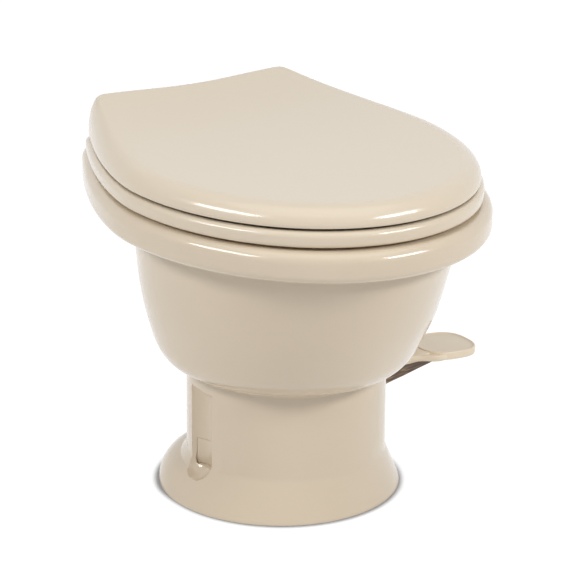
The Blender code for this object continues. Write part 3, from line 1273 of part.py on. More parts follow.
def make_rinse_line():
    """Nozzle through the bowl's back wall, the vacuum breaker behind it and the hose to the valve."""
    wall_y = INSIDE_SECTIONS[-1][3] - 2 * GAP
    nozzle = [(NOZZLE_HEAD_R, wall_y - NOZZLE_HEAD), (NOZZLE_HEAD_R, wall_y),
              (NOZZLE_R, wall_y), (NOZZLE_R, SOCKET_END_Y + SOCKET_DEEP - GAP)]
    solid("spray_nozzle", turned(nozzle, "Y", (0.0, 0.0, NOZZLE_Z)), black_plastic())
    top = BREAKER_HIGH_Z - BREAKER_CAP
    profile = [(OUTLET_PIPE_R, SPIGOT_END_Z), (OUTLET_PIPE_R, BREAKER_LOW_Z), (BREAKER_R, BREAKER_LOW_Z),
               (BREAKER_R, top), (BREAKER_R + BREAKER_CAP, top), (BREAKER_R + BREAKER_CAP, BREAKER_HIGH_Z)]
    breaker = solid("vacuum_breaker", turned(profile, centre=(0.0, BREAKER_Y, 0.0), count=ROUND_POINTS),
                    black_plastic())
    socket = (0.0, 0.0, NOZZLE_Z)
    combine(breaker, turned([(SOCKET_R, SOCKET_END_Y), (SOCKET_R, BREAKER_Y)], "Y", socket), "UNION")
    combine(breaker, turned([(NOZZLE_R + GAP, SOCKET_END_Y - OVERRUN),
                             (NOZZLE_R + GAP, SOCKET_END_Y + SOCKET_DEEP)], "Y", socket))
    start = BACK_Y + 2 * GAP + COVER_THICK
    end_y = INLET_END_Y + 2 * OUTLET_PIPE_R
    path = [(INLET_X, start, OUTLET_PIPE_Z)]
    path += bend((INLET_X, end_y, OUTLET_PIPE_Z), (INLET_X, BREAKER_Y - INLET_X, OUTLET_PIPE_Z),
                 (0.0, BREAKER_Y, SPIGOT_END_Z - 6 * HOSE_R), (0.0, BREAKER_Y, SPIGOT_END_Z - OUTLET_PIPE_R), 7)
    path.append((0.0, BREAKER_Y, BREAKER_LOW_Z - GAP))
    hose("rinse_hose", path, HOSE_R, OUTLET_PIPE_R + GAP, rubber())


def stand_over_origin():
    """Move everything so that the origin is under the middle of the whole outline."""
    bpy.context.view_layer.update()
    graph = bpy.context.evaluated_depsgraph_get()
    corners = []
    for made in bpy.data.objects:
        shape = made.evaluated_get(graph)
        mesh = shape.to_mesh()
        corners += [made.matrix_world @ v.co for v in mesh.vertices]
        shape.to_mesh_clear()
    middle = [(min(c[k] for c in corners) + max(c[k] for c in corners)) / 2 for k in (0, 1)]
    for made in bpy.data.objects:
        made.location.x -= middle[0]
        made.location.y -= middle[1]


def main():
    for old in list(bpy.data.objects):
        bpy.data.objects.remove(old)
    make_bowl()
    make_pedestal()
    make_access_covers()
    make_floor_bolts()
    make_lid()
    make_seat()
    make_hinge()
    make_bumpers()
    make_valve_body()
    make_bushes()
    make_ball_seal()
    make_half_clamps()
    make_flush_ball()
    make_ball_shafts()
    make_ball_gear()
    make_sector_gear()
    make_pedal()
    make_pedal_shaft()
    make_cam()
    make_pedal_spring()
    make_water_valve()
    make_rear_cover()
    make_rinse_line()
    stand_over_origin()
    print("sub-parts:", len(bpy.data.objects))


main()
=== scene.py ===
# %% [markdown]
# # A recreational-vehicle toilet, dressed from its CAD frame
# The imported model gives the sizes, the joints and the hidden works. This lesson puts the smooth
# ceramic and plastic that a visitor sees over that frame, one piece at a time, and leaves every
# solid where the CAD says it is.

# %% Load the frame
import json
import math

import bmesh
import bpy
from mathutils import Matrix, Vector


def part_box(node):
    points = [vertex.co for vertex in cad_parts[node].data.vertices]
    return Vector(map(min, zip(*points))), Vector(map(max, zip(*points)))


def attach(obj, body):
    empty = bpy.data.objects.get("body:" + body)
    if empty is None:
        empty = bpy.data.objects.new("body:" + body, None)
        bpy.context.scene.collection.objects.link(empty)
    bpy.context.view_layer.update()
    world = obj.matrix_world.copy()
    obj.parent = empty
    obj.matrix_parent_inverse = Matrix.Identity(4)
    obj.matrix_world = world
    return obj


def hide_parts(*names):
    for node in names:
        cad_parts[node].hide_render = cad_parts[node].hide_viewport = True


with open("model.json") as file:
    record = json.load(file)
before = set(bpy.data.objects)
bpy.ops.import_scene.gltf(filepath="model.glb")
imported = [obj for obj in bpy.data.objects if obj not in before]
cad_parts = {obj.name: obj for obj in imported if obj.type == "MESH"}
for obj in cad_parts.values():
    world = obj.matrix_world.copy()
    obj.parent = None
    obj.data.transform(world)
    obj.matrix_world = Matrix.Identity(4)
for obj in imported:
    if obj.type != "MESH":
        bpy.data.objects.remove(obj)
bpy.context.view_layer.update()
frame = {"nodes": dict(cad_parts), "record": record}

MM = 0.001

# %% [markdown]
# ## Where the toilet stands
# The frame's origin lies under the middle of the whole outline, pedal included. The drain is a
# better centre for the bowl and the pedestal, so its place is read off the pedestal and the bowl.

# %% Find the drain
RIM_NOSE = 235
DRAIN_X = (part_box("pedestal")[0].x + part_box("pedestal")[1].x) / 2
DRAIN_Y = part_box("bowl")[0].y + RIM_NOSE * MM
print("drain at", round(DRAIN_X / MM, 2), round(DRAIN_Y / MM, 2))

# %% [markdown]
# ## The camera
# The photograph looks at the bowl from its left front, a third of a right angle round and a fifth
# of one up, through a long lens. The pose below was worked out from the outlines of the lid, the
# rim and the foot, so the camera only has to be put there.

# %% Camera
TURN = math.radians(-32.13)
TILT = math.radians(19.93)
ROLL = math.radians(0.47)
DISTANCE = 2.8986
FOCAL_PIXELS = 2800
PICTURE = 580
AIM_PIXEL = (286.97, 321.57)
AIM_HEIGHT = 0.179

back = Vector((math.sin(TURN) * math.cos(TILT), -math.cos(TURN) * math.cos(TILT), math.sin(TILT)))
right = Vector((math.cos(TURN), math.sin(TURN), 0.0))
up = back.cross(right)
target = Vector((DRAIN_X, DRAIN_Y, AIM_HEIGHT))
target -= right * ((AIM_PIXEL[0] - PICTURE / 2) / FOCAL_PIXELS * DISTANCE)
target += up * ((AIM_PIXEL[1] - PICTURE / 2) / FOCAL_PIXELS * DISTANCE)
side_axis = right * math.cos(ROLL) + up * math.sin(ROLL)
top_axis = up * math.cos(ROLL) - right * math.sin(ROLL)

lens = bpy.data.cameras.new("photo_camera")
lens.sensor_width = 36.0
lens.lens = 36.0 * FOCAL_PIXELS / PICTURE
camera = bpy.data.objects.new("photo_camera", lens)
bpy.context.scene.collection.objects.link(camera)
camera.matrix_world = Matrix.Translation(target + back * DISTANCE) @ Matrix(
    (side_axis, top_axis, back)).transposed().to_4x4()
bpy.context.scene.camera = camera
print("camera at", [round(x, 3) for x in camera.matrix_world.translation])

# %% [markdown]
# ## Shader sums
# A finish is a small sum of patterns. Writing `noise * 0.1 + 0.9` is easier to read than linking
# nodes by hand, so one class wraps a socket and turns ordinary signs into Math nodes.


# %% A socket that can be added and multiplied
class Sum:
    """A shader socket that ordinary arithmetic works on."""

    def __init__(self, tree, socket):
        self.tree = tree
        self.socket = socket

    def node(self, kind, settings=None, **inputs):
        """Add any node, set its settings, and set or link its sockets by name."""
        made = self.tree.nodes.new(kind)
        for key, value in (settings or {}).items():
            setattr(made, key, value)
        for key, value in inputs.items():
            socket = made.inputs[int(key[1:])] if key[0] == "n" and key[1:].isdigit() \
                else made.inputs[key.replace("_", " ")]
            if isinstance(value, Sum):
                self.tree.links.new(value.socket, socket)
            else:
                socket.default_value = value
        return made

    def sum(self, kind, *values):
        made = self.node("ShaderNodeMath", {"operation": kind},
                         **{"n%d" % i: v for i, v in enumerate(values)})
        return Sum(self.tree, made.outputs[0])

    def __add__(self, other):
        return self.sum("ADD", self, other)

    __radd__ = __add__

    def __mul__(self, other):
        return self.sum("MULTIPLY", self, other)

    __rmul__ = __mul__

    def __truediv__(self, other):
        return self.sum("DIVIDE", self, other)

    def __sub__(self, other):
        return self.sum("SUBTRACT", self, other)

    def __rsub__(self, other):
        return self.sum("SUBTRACT", other, self)

    def between(self, low, high):
        """0 below low, 1 above high and a smooth ramp between them."""
        made = self.node("ShaderNodeMapRange", {"interpolation_type": "SMOOTHSTEP"},
                         Value=self, From_Min=low, From_Max=high)
        return Sum(self.tree, made.outputs[0])

    def tint(self, low, high):
        """A mix that runs from the colour or pattern low to high with this value."""
        made = self.node("ShaderNodeMix", {"data_type": "RGBA"}, n0=self, n6=low, n7=high)
        return Sum(self.tree, made.outputs[2])


# %% [markdown]
# ## A finish
# Every finish starts the same way: a Principled shader with its plain numbers set on its own
# sockets, and the object's own coordinates, in metres, for its patterns to read.

# %% Start a finish
FINISHES = {}


def linear(colour):
    """An sRGB colour of 0 to 255 as the linear colour that a shader wants."""
    return tuple(((c / 255 + 0.055) / 1.055) ** 2.4 if c > 10 else c / 255 / 12.92
                 for c in colour) + (1.0,)


def start_finish(name, **plain):
    """A new material with its shader, and the place on the object as a Sum."""
    finish = bpy.data.materials.new(name)
    finish.use_nodes = True
    shader = finish.node_tree.nodes["Principled BSDF"]
    for key, value in plain.items():
        shader.inputs[key.replace("_", " ")].default_value = value
    FINISHES[name] = finish
    place = finish.node_tree.nodes.new("ShaderNodeTexCoord")
    return shader, Sum(finish.node_tree, place.outputs["Object"])


def noise(place, scale, detail=2.0, roughness=0.5, stretch=None):
    """Cloudy noise of so many grains a metre."""
    if stretch:
        place = Sum(place.tree, place.node("ShaderNodeMapping", Vector=place, Scale=stretch).outputs[0])
    made = place.node("ShaderNodeTexNoise", Vector=place, Scale=scale, Detail=detail,
                      Roughness=roughness)
    return Sum(place.tree, made.outputs["Fac"])


def colour_with(shader, value):
    value.tree.links.new(value.socket, shader.inputs["Base Color"])


def roughness_with(shader, value):
    value.tree.links.new(value.socket, shader.inputs["Roughness"])


def bump_with(shader, value, depth):
    """Raise the surface by value, times depth in metres."""
    made = value.node("ShaderNodeBump", Height=value, Distance=depth, Strength=1.0)
    value.tree.links.new(made.outputs["Normal"], shader.inputs["Normal"])


# %% [markdown]
# ## Bone glaze
# The bowl and the foot are fired ceramic under a warm bone glaze. Poured glaze is never dead flat:
# it waves a little over many centimetres, its colour drifts by a hair, and a few fine specks of
# the clay show through. It is smooth enough to mirror a lamp as a soft bar.

# %% Glaze
shader, place = start_finish("bone_glaze", Roughness=0.16, IOR=1.5, Coat_Weight=0.25,
                             Coat_Roughness=0.05)
drift = noise(place, 9.0, 3.0)
speck = noise(place, 900.0, 1.0).between(0.72, 0.78)
glaze = drift.tint(linear((207, 191, 168)), linear((212, 197, 175)))
colour_with(shader, (speck * 0.25).tint(glaze, linear((178, 158, 130))))
roughness_with(shader, noise(place, 35.0) * 0.06 + 0.13)
bump_with(shader, noise(place, 22.0, 1.0) + noise(place, 160.0, 1.0) * 0.06, 0.0006)
print("finish:", list(FINISHES))

# %% [markdown]
# ## Bone plastic
# The lid, the seat and the pedal are injection moulded in the same bone colour. A polished mould
# leaves a gloss with a faint texture like the skin of an orange, much finer than the glaze's
# waves, and the colour is even. The pedal is the same plastic, but shoes have rubbed it duller in
# soft patches. The ribs under its arm are painted dark brown in streaks: painted shade in place of
# the shadow that fills the open hollow below the arm's side walls.

# %% Moulded plastic
shader, place = start_finish("bone_plastic", Roughness=0.2, IOR=1.49, Coat_Weight=0.4,
                             Coat_Roughness=0.08)
flow = noise(place, 5.0, 2.0, stretch=(1.0, 0.35, 1.0))
colour_with(shader, flow.tint(linear((212, 197, 174)), linear((216, 202, 181))))
roughness_with(shader, noise(place, 60.0) * 0.07 + 0.17)
bump_with(shader, noise(place, 420.0, 1.0) + noise(place, 30.0, 1.0) * 2.0, 0.00006)

# %% Trodden plastic, with painted shade on the ribs under the arm
ARM_LIMIT = 181
HEM_START = (98, 92)
HEM_SLOPE = 0.377
SKIRT_LOW = 107.8
shader, place = start_finish("tread_plastic_and_painted_shade", Roughness=0.4, IOR=1.49, Coat_Weight=0.25,
                             Coat_Roughness=0.3)
rubbed = noise(place, 26.0, 4.0).between(0.4, 0.75)
trodden = rubbed.tint(linear((230, 214, 190)), linear((236, 221, 198)))
# Painted shade: below the line where the arm's side walls end, up to the arm's outer end, the ribs are
# coloured a streaked dark brown in place of the shadow in the hollow under the arm.
axes = place.node("ShaderNodeSeparateXYZ", Vector=place)
x, z = Sum(place.tree, axes.outputs["X"]) - DRAIN_X, Sum(place.tree, axes.outputs["Z"])
hem = x.sum("MINIMUM", (x - HEM_START[0] * MM) * HEM_SLOPE + HEM_START[1] * MM, SKIRT_LOW * MM)
painted_shade_mask = ((hem - z) / MM).between(-0.3, 0.9) * (1 - (x / MM).between(ARM_LIMIT, ARM_LIMIT + 3))
painted_shade_streaks = noise(place, 90.0, 3.0, stretch=(0.35, 3.0, 3.0)).between(0.42, 0.66)
painted_rib_shade = painted_shade_streaks.tint(linear((84, 60, 38)), linear((166, 134, 96)))
colour_with(shader, painted_shade_mask.tint(trodden, painted_rib_shade))
roughness_with(shader, rubbed * 0.14 + 0.32)
bump_with(shader, noise(place, 900.0, 2.0), 0.00005)

# %% [markdown]
# ## The hidden works
# Behind the ceramic sit black glass-filled plastic, white nylon gears, rubber seals and plated
# steel. Each gets its own grain: a spark-eroded bloom on the black, a milky unevenness on the
# nylon, a dusty bloom on the rubber and a brushed streak on the steel.

# %% Works
shader, place = start_finish("black_plastic", Roughness=0.45, IOR=1.5)
colour_with(shader, noise(place, 40.0, 4.0).tint(linear((34, 34, 35)), linear((46, 45, 45))))
roughness_with(shader, noise(place, 260.0) * 0.2 + 0.35)
bump_with(shader, noise(place, 1800.0, 2.0), 0.00012)

shader, place = start_finish("white_plastic", Roughness=0.35, IOR=1.53, Subsurface_Weight=0.05,
                             Subsurface_Scale=0.002)
colour_with(shader, noise(place, 60.0, 3.0).tint(linear((226, 224, 215)), linear((236, 234, 228))))
roughness_with(shader, noise(place, 200.0) * 0.12 + 0.3)
bump_with(shader, noise(place, 900.0, 1.0), 0.00005)

shader, place = start_finish("rubber", Roughness=0.7, IOR=1.5)
bloom = noise(place, 90.0, 4.0).between(0.45, 0.75)
colour_with(shader, bloom.tint(linear((38, 37, 36)), linear((58, 56, 54))))
roughness_with(shader, bloom * 0.2 + 0.6)
bump_with(shader, noise(place, 1500.0, 2.0), 0.0001)

shader, place = start_finish("steel", Metallic=1.0, Roughness=0.3)
streak = noise(place, 220.0, 3.0, stretch=(1.0, 1.0, 12.0))
colour_with(shader, streak.tint(linear((176, 175, 172)), linear((205, 204, 200))))
roughness_with(shader, streak * 0.2 + 0.22)
bump_with(shader, streak, 0.00002)
print("finishes:", sorted(FINISHES))

# %% [markdown]
# ## Dress the CAD nodes
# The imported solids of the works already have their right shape, so they stay, and each one takes
# the finish that the record names for it.

# %% Finishes by slot
BY_SLOT = {name: name for name in FINISHES}
BY_SLOT["bone_ceramic"] = "bone_glaze"
for part in frame["record"]["subparts"]:
    node = frame["nodes"][part["node"]]
    node.data.materials.clear()
    node.data.materials.append(FINISHES[BY_SLOT[part["material_slot"]]])

# %% [markdown]
# ## Egg-shaped plans
# Seen from above, lid, seat and rim are one family of outlines: half an ellipse in front, sides
# that draw in behind it, and a cut-off rear edge with small rounds at its corners. A few named
# sizes describe each, so the outline is worked out as points instead of being drawn by eye. From
# here on every size is in millimetres and every place is measured from the drain.

# %% Outlines
FINE = 160
SIDE_POWER = 1.6
SIDES = ((-1, "left"), (1, "right"))


def spaced(points, count):
    """So many points spaced evenly along a closed outline."""
    loop = list(points) + [points[0]]
    lengths = [0.0]
    for a, b in zip(loop, loop[1:]):
        lengths.append(lengths[-1] + math.dist(a, b))
    result = []
    k = 0
    for i in range(count):
        reach = lengths[-1] * i / count
        while lengths[k + 1] < reach:
            k += 1
        t = (reach - lengths[k]) / (lengths[k + 1] - lengths[k])
        result.append(tuple(loop[k][c] + (loop[k + 1][c] - loop[k][c]) * t for c in (0, 1)))
    return result


def egg(half, nose, rear, corner=0.0, fillet=0.0, dip=0.0, power=2.0):
    """An egg-shaped outline from its nose round by the right, centred on the drain."""
    steps = 90
    side = [(half * math.sin(math.pi / 2 * i / steps) ** (2 / power),
             -nose * math.cos(math.pi / 2 * i / steps) ** (2 / power)) for i in range(steps)]
    if not corner:
        side += [(half * math.cos(math.pi / 2 * i / steps), rear * math.sin(math.pi / 2 * i / steps))
                 for i in range(steps + 1)]
    else:
        side += [(half - (half - corner) * (i / steps) ** SIDE_POWER, rear * i / steps)
                 for i in range(steps + 1)]
        edge = [(corner * (1 - i / steps), rear - dip * math.sin(math.pi / 2 * i / steps) ** 2)
                for i in range(1, steps + 1)]
        tip = side[-1]
        side = [p for p in side if p[1] < 0 or math.dist(p, tip) > fillet]
        edge = [p for p in edge if math.dist(p, tip) > fillet]
        a, b = side[-1], edge[0]
        side += [tuple((1 - t) ** 2 * a[k] + 2 * t * (1 - t) * tip[k] + t * t * b[k] for k in (0, 1))
                 for t in (i / 16 for i in range(1, 16))]
        side += edge
    side += [(-x, y) for x, y in reversed(side[1:-1])]
    return spaced(side, FINE)


def inset(points, distance):
    """Move an outline inwards along its normals, by a number or a function of x and y."""
    result = []
    for i, (x, y) in enumerate(points):
        a, b = points[i - 1], points[(i + 1) % len(points)]
        dx, dy = b[0] - a[0], b[1] - a[1]
        move = (distance(x, y) if callable(distance) else distance) / math.hypot(dx, dy)
        result.append((x - dy * move, y + dx * move))
    return result


def circle(radius, count=FINE):
    """A round outline that starts at its nose, as an egg does."""
    return [(radius * math.sin(2 * math.pi * i / count), -radius * math.cos(2 * math.pi * i / count))
            for i in range(count)]


def spot(x, y, z):
    """A place in millimetres from the drain, as metres in the frame."""
    return Vector((DRAIN_X + x * MM, DRAIN_Y + y * MM, z * MM))


def at(points, z):
    """An outline lifted to a height, which is a number or a function of x and y."""
    return [spot(x, y, z(x, y) if callable(z) else z) for x, y in points]


def round_off(radius, steps):
    """Pairs of how far in and how far up, along a quarter round."""
    turns = [math.pi / 2 * i / steps for i in range(steps + 1)]
    return [(radius * (1 - math.cos(t)), radius * math.sin(t)) for t in turns]


print("plan points:", FINE)

# %% [markdown]
# ## From ring to ring
# A bowl or a lid could be sculpted, or blocked out and subdivided, but then its outline would
# drift from the CAD. Extruding one closed ring after another, each put on its own outline, keeps
# the sizes exact and gives clean rows of quads that shade without a ripple.

# %% Extrude rings
def extrude_rings(name, rings, close="loop"):
    """A piece from closed rings of points: each ring is extruded from the one before it.

    close is "loop" where the last ring meets the first, and "caps" where both ends are filled.
    """
    bpy.ops.object.select_all(action="DESELECT")
    bpy.ops.mesh.primitive_circle_add(vertices=len(rings[0]), radius=0.1, fill_type="NOTHING")
    piece = bpy.context.object
    piece.name = name
    piece.data.name = name
    bpy.ops.object.mode_set(mode="EDIT")
    mesh = bmesh.from_edit_mesh(piece.data)
    order = mesh.verts.layers.int.new("order")
    for i, vert in enumerate(mesh.verts):
        vert[order] = i
    for k, ring in enumerate(rings + ([rings[0]] if close == "loop" else [])):
        if k:
            bpy.ops.mesh.extrude_edges_move()
        mesh = bmesh.from_edit_mesh(piece.data)
        order = mesh.verts.layers.int["order"]
        for vert in mesh.verts:
            if vert.select:
                vert.co = ring[vert[order]]
        bmesh.update_edit_mesh(piece.data)
    if close == "caps":
        bpy.ops.mesh.edge_face_add()
        mesh = bmesh.from_edit_mesh(piece.data)
        order = mesh.verts.layers.int["order"]
        start = {tuple(round(c, 7) for c in point) for point in rings[0]}
        for vert in mesh.verts:
            vert.select_set(vert.is_boundary and tuple(round(c, 7) for c in vert.co) in start)
        mesh.select_flush(True)
        bmesh.update_edit_mesh(piece.data)
        bpy.ops.mesh.edge_face_add()
    bpy.ops.mesh.select_all(action="SELECT")
    bpy.ops.mesh.remove_doubles(threshold=0.00001)
    bpy.ops.mesh.normals_make_consistent(inside=False)
    bpy.ops.object.mode_set(mode="OBJECT")
    return piece


def finish_piece(piece, body, slot_name, replaced=(), angle=35, finish=None):
    """Smooth a piece, give it its finish, and let it ride on its body."""
    bpy.ops.object.select_all(action="DESELECT")
    piece.select_set(True)
    bpy.context.view_layer.objects.active = piece
    bpy.ops.object.shade_smooth_by_angle(angle=math.radians(angle))
    piece.data.materials.clear()
    piece.data.materials.append(FINISHES[finish or BY_SLOT[slot_name]])
    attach(piece, body)
    if replaced:
        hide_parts(*replaced)
    check = bmesh.new()
    check.from_mesh(piece.data)
    loose = sum(1 for edge in check.edges if not edge.is_manifold)
    print(piece.name, "faces", len(piece.data.polygons), "open edges", loose,
          "volume", round(check.calc_volume() * 1e6), "cm3")
    check.free()
    return piece


def apply(piece, kind, name="step", **settings):
    """Add a modifier and apply it at once."""
    step = piece.modifiers.new(name, kind)
    for key, value in settings.items():
        setattr(step, key, value)
    bpy.ops.object.select_all(action="DESELECT")
    piece.select_set(True)
    bpy.context.view_layer.objects.active = piece
    bpy.ops.object.modifier_apply(modifier=step.name)


def cut(piece, tool, operation="DIFFERENCE"):
    """Cut a tool out of a piece, or join it on, and throw the tool away."""
    apply(piece, "BOOLEAN", object=tool, operation=operation, solver="EXACT")
    bpy.data.objects.remove(tool)


def box_tool(low, high):
    """A box between two corners."""
    bpy.ops.object.select_all(action="DESELECT")
    bpy.ops.mesh.primitive_cube_add(size=1.0)
    tool = bpy.context.object
    middle = spot(*((a + b) / 2 for a, b in zip(low, high)))
    size = [(b - a) * MM for a, b in zip(low, high)]
    tool.data.transform(Matrix.Translation(middle) @ Matrix.Diagonal((*size, 1.0)))
    return tool


def rod(start, end, radius, points=48):
    """A round bar between two places."""
    bpy.ops.object.select_all(action="DESELECT")
    a, b = spot(*start), spot(*end)
    bpy.ops.mesh.primitive_cylinder_add(vertices=points, radius=radius * MM, depth=(b - a).length)
    tool = bpy.context.object
    turn = (b - a).to_track_quat("Z", "Y").to_matrix().to_4x4()
    tool.data.transform(Matrix.Translation((a + b) / 2) @ turn)
    return tool


def arc(centre, radius, start, end, steps):
    """Points along an arc, from one angle in degrees to another."""
    turns = [math.radians(start + (end - start) * i / steps) for i in range(steps + 1)]
    return [(centre[0] + radius * math.cos(t), centre[1] + radius * math.sin(t)) for t in turns]


def slab(name, outline, axis, low, high):
    """An outline drawn flat, such as in y and z, and pulled out along the third axis."""
    rings = []
    for depth in (low, high):
        rings.append([spot(*{"X": (depth, a, b), "Y": (a, depth, b), "Z": (a, b, depth)}[axis])
                      for a, b in outline])
    return extrude_rings(name, rings, "caps")


def lathe(name, profile, axis="Z", centre=(0.0, 0.0, 0.0), close="caps", points=48):
    """A turned piece: pairs of radius and place along an axis through the centre."""
    rings = []
    for radius, along in profile:
        ring = []
        for turn in (2 * math.pi * i / points for i in range(points)):
            a, b = radius * math.sin(turn), radius * math.cos(turn)
            place = {"X": (along, a, b), "Y": (a, along, b), "Z": (a, b, along)}[axis]
            ring.append(spot(*(c + v for c, v in zip(centre, place))))
        rings.append(ring)
    return extrude_rings(name, rings, close)


def soften(piece, width, segments=3, angle=40):
    """Round every edge that is sharper than an angle."""
    apply(piece, "BEVEL", width=width * MM, segments=segments, limit_method="ANGLE",
          angle_limit=math.radians(angle), use_clamp_overlap=True)


# %% [markdown]
# ## The bowl
# The bowl is one casting: a round foot, a body that swells and leans forward, a deep rolled rim,
# and inside it a funnel down to the outlet. Its wall is hollow ware, so one chain of rings runs up
# the outside, over the rim, down the inside and back out through the outlet.

# %% Bowl sections
NECK_Z = 139.5
RIM_Z = 329.5
LIP_HEIGHT = 30.5
LIP_UNDER = 4
NOZZLE_Z = 277.5
NOZZLE_HOLE = 6.3
SEAT_BOLT = (72, 221)
PIN_HOLE = 4.3
# Each row is a height, the half width, and how far the nose and the rear reach.
OUTSIDE = ((139.5, 110, 110, 110), (141, 113.5, 116, 114), (144.5, 119.5, 124.5, 119.5),
           (150.5, 127.5, 135, 127), (163.5, 135.5, 147.5, 137.5), (180.5, 140.5, 157, 147),
           (205.5, 146, 169.5, 157), (231.5, 150, 181, 162), (257.5, 153, 192, 163),
           (281.5, 156, 202, 163))
INSIDE = ((155.5, 30, 30, 30), (161.5, 60, 63, 57), (170.5, 85, 95, 78), (187.5, 109, 134, 93),
          (220.5, 127, 163, 102), (263.5, 138, 177, 109), (305.5, 140, 178, 109))


def eased(sections, steps):
    """More sections between the given ones, on a smooth curve through them."""
    result = []
    end = len(sections) - 1
    for i in range(end):
        p = [sections[max(0, min(end, i + k))] for k in (-1, 0, 1, 2)]
        gap = [max(math.dist(a, b), 1e-6) ** 0.5 for a, b in zip(p, p[1:])]
        for step in range(steps):
            t = step / steps
            row = []
            for c in range(4):
                slope = [(p[k + 1][c] - p[k][c]) / gap[k] for k in range(3)]
                m1 = (slope[1] * gap[0] + slope[0] * gap[1]) / (gap[0] + gap[1]) if i else slope[1]
                m2 = slope[1] if i == end - 1 \
                    else (slope[1] * gap[2] + slope[2] * gap[1]) / (gap[1] + gap[2])
                h = gap[1]
                row.append((2 * t ** 3 - 3 * t ** 2 + 1) * p[1][c] + (t ** 3 - 2 * t ** 2 + t) * h * m1
                           + (3 * t ** 2 - 2 * t ** 3) * p[2][c] + (t ** 3 - t ** 2) * h * m2)
            result.append(tuple(row))
    return result + [sections[-1]]


body_rows = eased(OUTSIDE, 4)
funnel_rows = eased(INSIDE, 4)
print("bowl rows", len(body_rows), "outside and", len(funnel_rows), "inside")

# %% Bowl
rim = egg(193, RIM_NOSE, 245, 106, 34)
rim_hole = egg(138, 176, 106)
lip_z = RIM_Z - LIP_HEIGHT
rings = []
for z, half, nose, rear in body_rows:
    drawn_in = 0.13 * min(1.0, (z - NECK_Z) / 6) * min(1.0, max(0.0, (210 - z) / 40))
    rings.append(at(egg(half, nose, rear, power=2.0 - drawn_in), z))
z, half, nose, rear = body_rows[-1]
for share in (0.25, 0.5, 0.75, 1.0):
    angle = math.pi / 2 * share
    grow = LIP_UNDER * (1 - math.cos(angle))
    rings.append(at(egg(half + grow, nose + grow, rear + grow), z + (lip_z - z) * math.sin(angle)))
for across, rise in reversed(round_off(8, 6)):
    rings.append(at(inset(rim, across), lip_z + 8 - rise))
for across, rise in round_off(11, 8):
    rings.append(at(inset(rim, across), RIM_Z - 11 + rise))
for across, rise in reversed(round_off(8, 6)):
    rings.append(at(inset(rim_hole, -across), RIM_Z - 8 + rise))
rings += [at(egg(half, nose, rear), z) for z, half, nose, rear in reversed(funnel_rows)]
# The outlet, the collar that the valve is clamped to, and the hollow foot round them.
for radius, z in ((26.5, 154), (25, 151.5), (25, 134), (45, 134), (45, 138), (38, 138), (38, 148.5),
                  (96, 148.5), (100, 139.5)):
    rings.append(at(circle(radius), z))
bowl = extrude_rings("bowl_casting", rings)
for side in (-1, 1):
    x, y = side * SEAT_BOLT[0], SEAT_BOLT[1]
    cut(bowl, rod((x, y, lip_z - 12), (x, y, RIM_Z + 3), PIN_HOLE, 32))
cut(bowl, rod((0.0, 100, NOZZLE_Z), (0.0, 245, NOZZLE_Z), NOZZLE_HOLE, 32))
finish_piece(bowl, "base", "bone_ceramic", ["bowl"])

# %% [markdown]
# ## The pedestal
# The foot is a second casting: a round column whose front flares out straight and whose back ends
# in a full round plinth. An upright groove in each side lets a spanner down to the floor bolt. The
# groove could be cut with a Boolean, but its edge is the sharpest line on the whole toilet, so the
# rings themselves follow it: the same points run round the column and into the groove.

# %% Foot outline
COLUMN_R = 104
FOOT_R = 127.5
FOOT_SHIFT = 12.5
FLARE_HEIGHT = 44
PLINTH_HEIGHT = 34
BACK_Y = 89
GROOVE_R = 24
GROOVE_X = 115
GROOVE_TOE = 26
GROOVE_TOP = 124
COLUMN_TOP = 139.2
BALL_Z = 84
FLOOR_BOLT_X = 76
COVER_SCREW_X = 40.3
COVER_SCREW_HOLE = 1.8
FLANGE_R = 101
SPIGOT_R = 44.3


def foot_point(angle, z, thin=0.0):
    """A point of the foot's outline at an angle, or of the hollow inside it."""
    flare = max(0.0, 1 - z / FLARE_HEIGHT) ** 1.05
    plinth = math.sqrt(max(0.0, 1 - (z / PLINTH_HEIGHT) ** 2))
    behind = min(1.0, max(0.0, (math.sin(angle) + 0.1) / 0.45))
    behind = behind * behind * (3 - 2 * behind)
    if thin:
        inside = COLUMN_R - thin
        return inside * math.cos(angle), min(inside * math.sin(angle), BACK_Y - thin)
    share = flare + (max(plinth, flare) - flare) * behind
    return tuple(COLUMN_R * f + (FOOT_R * f + shift - COLUMN_R * f) * share
                 for f, shift in ((math.cos(angle), 0.0), (math.sin(angle), FOOT_SHIFT)))


def groove_radius(z):
    """The groove's own radius at a height: full above, and round at its toe."""
    drop = min(1.0, max(0.0, (z - GROOVE_TOE) / GROOVE_R))
    return GROOVE_R * math.sqrt(1 - (1 - drop) ** 2)


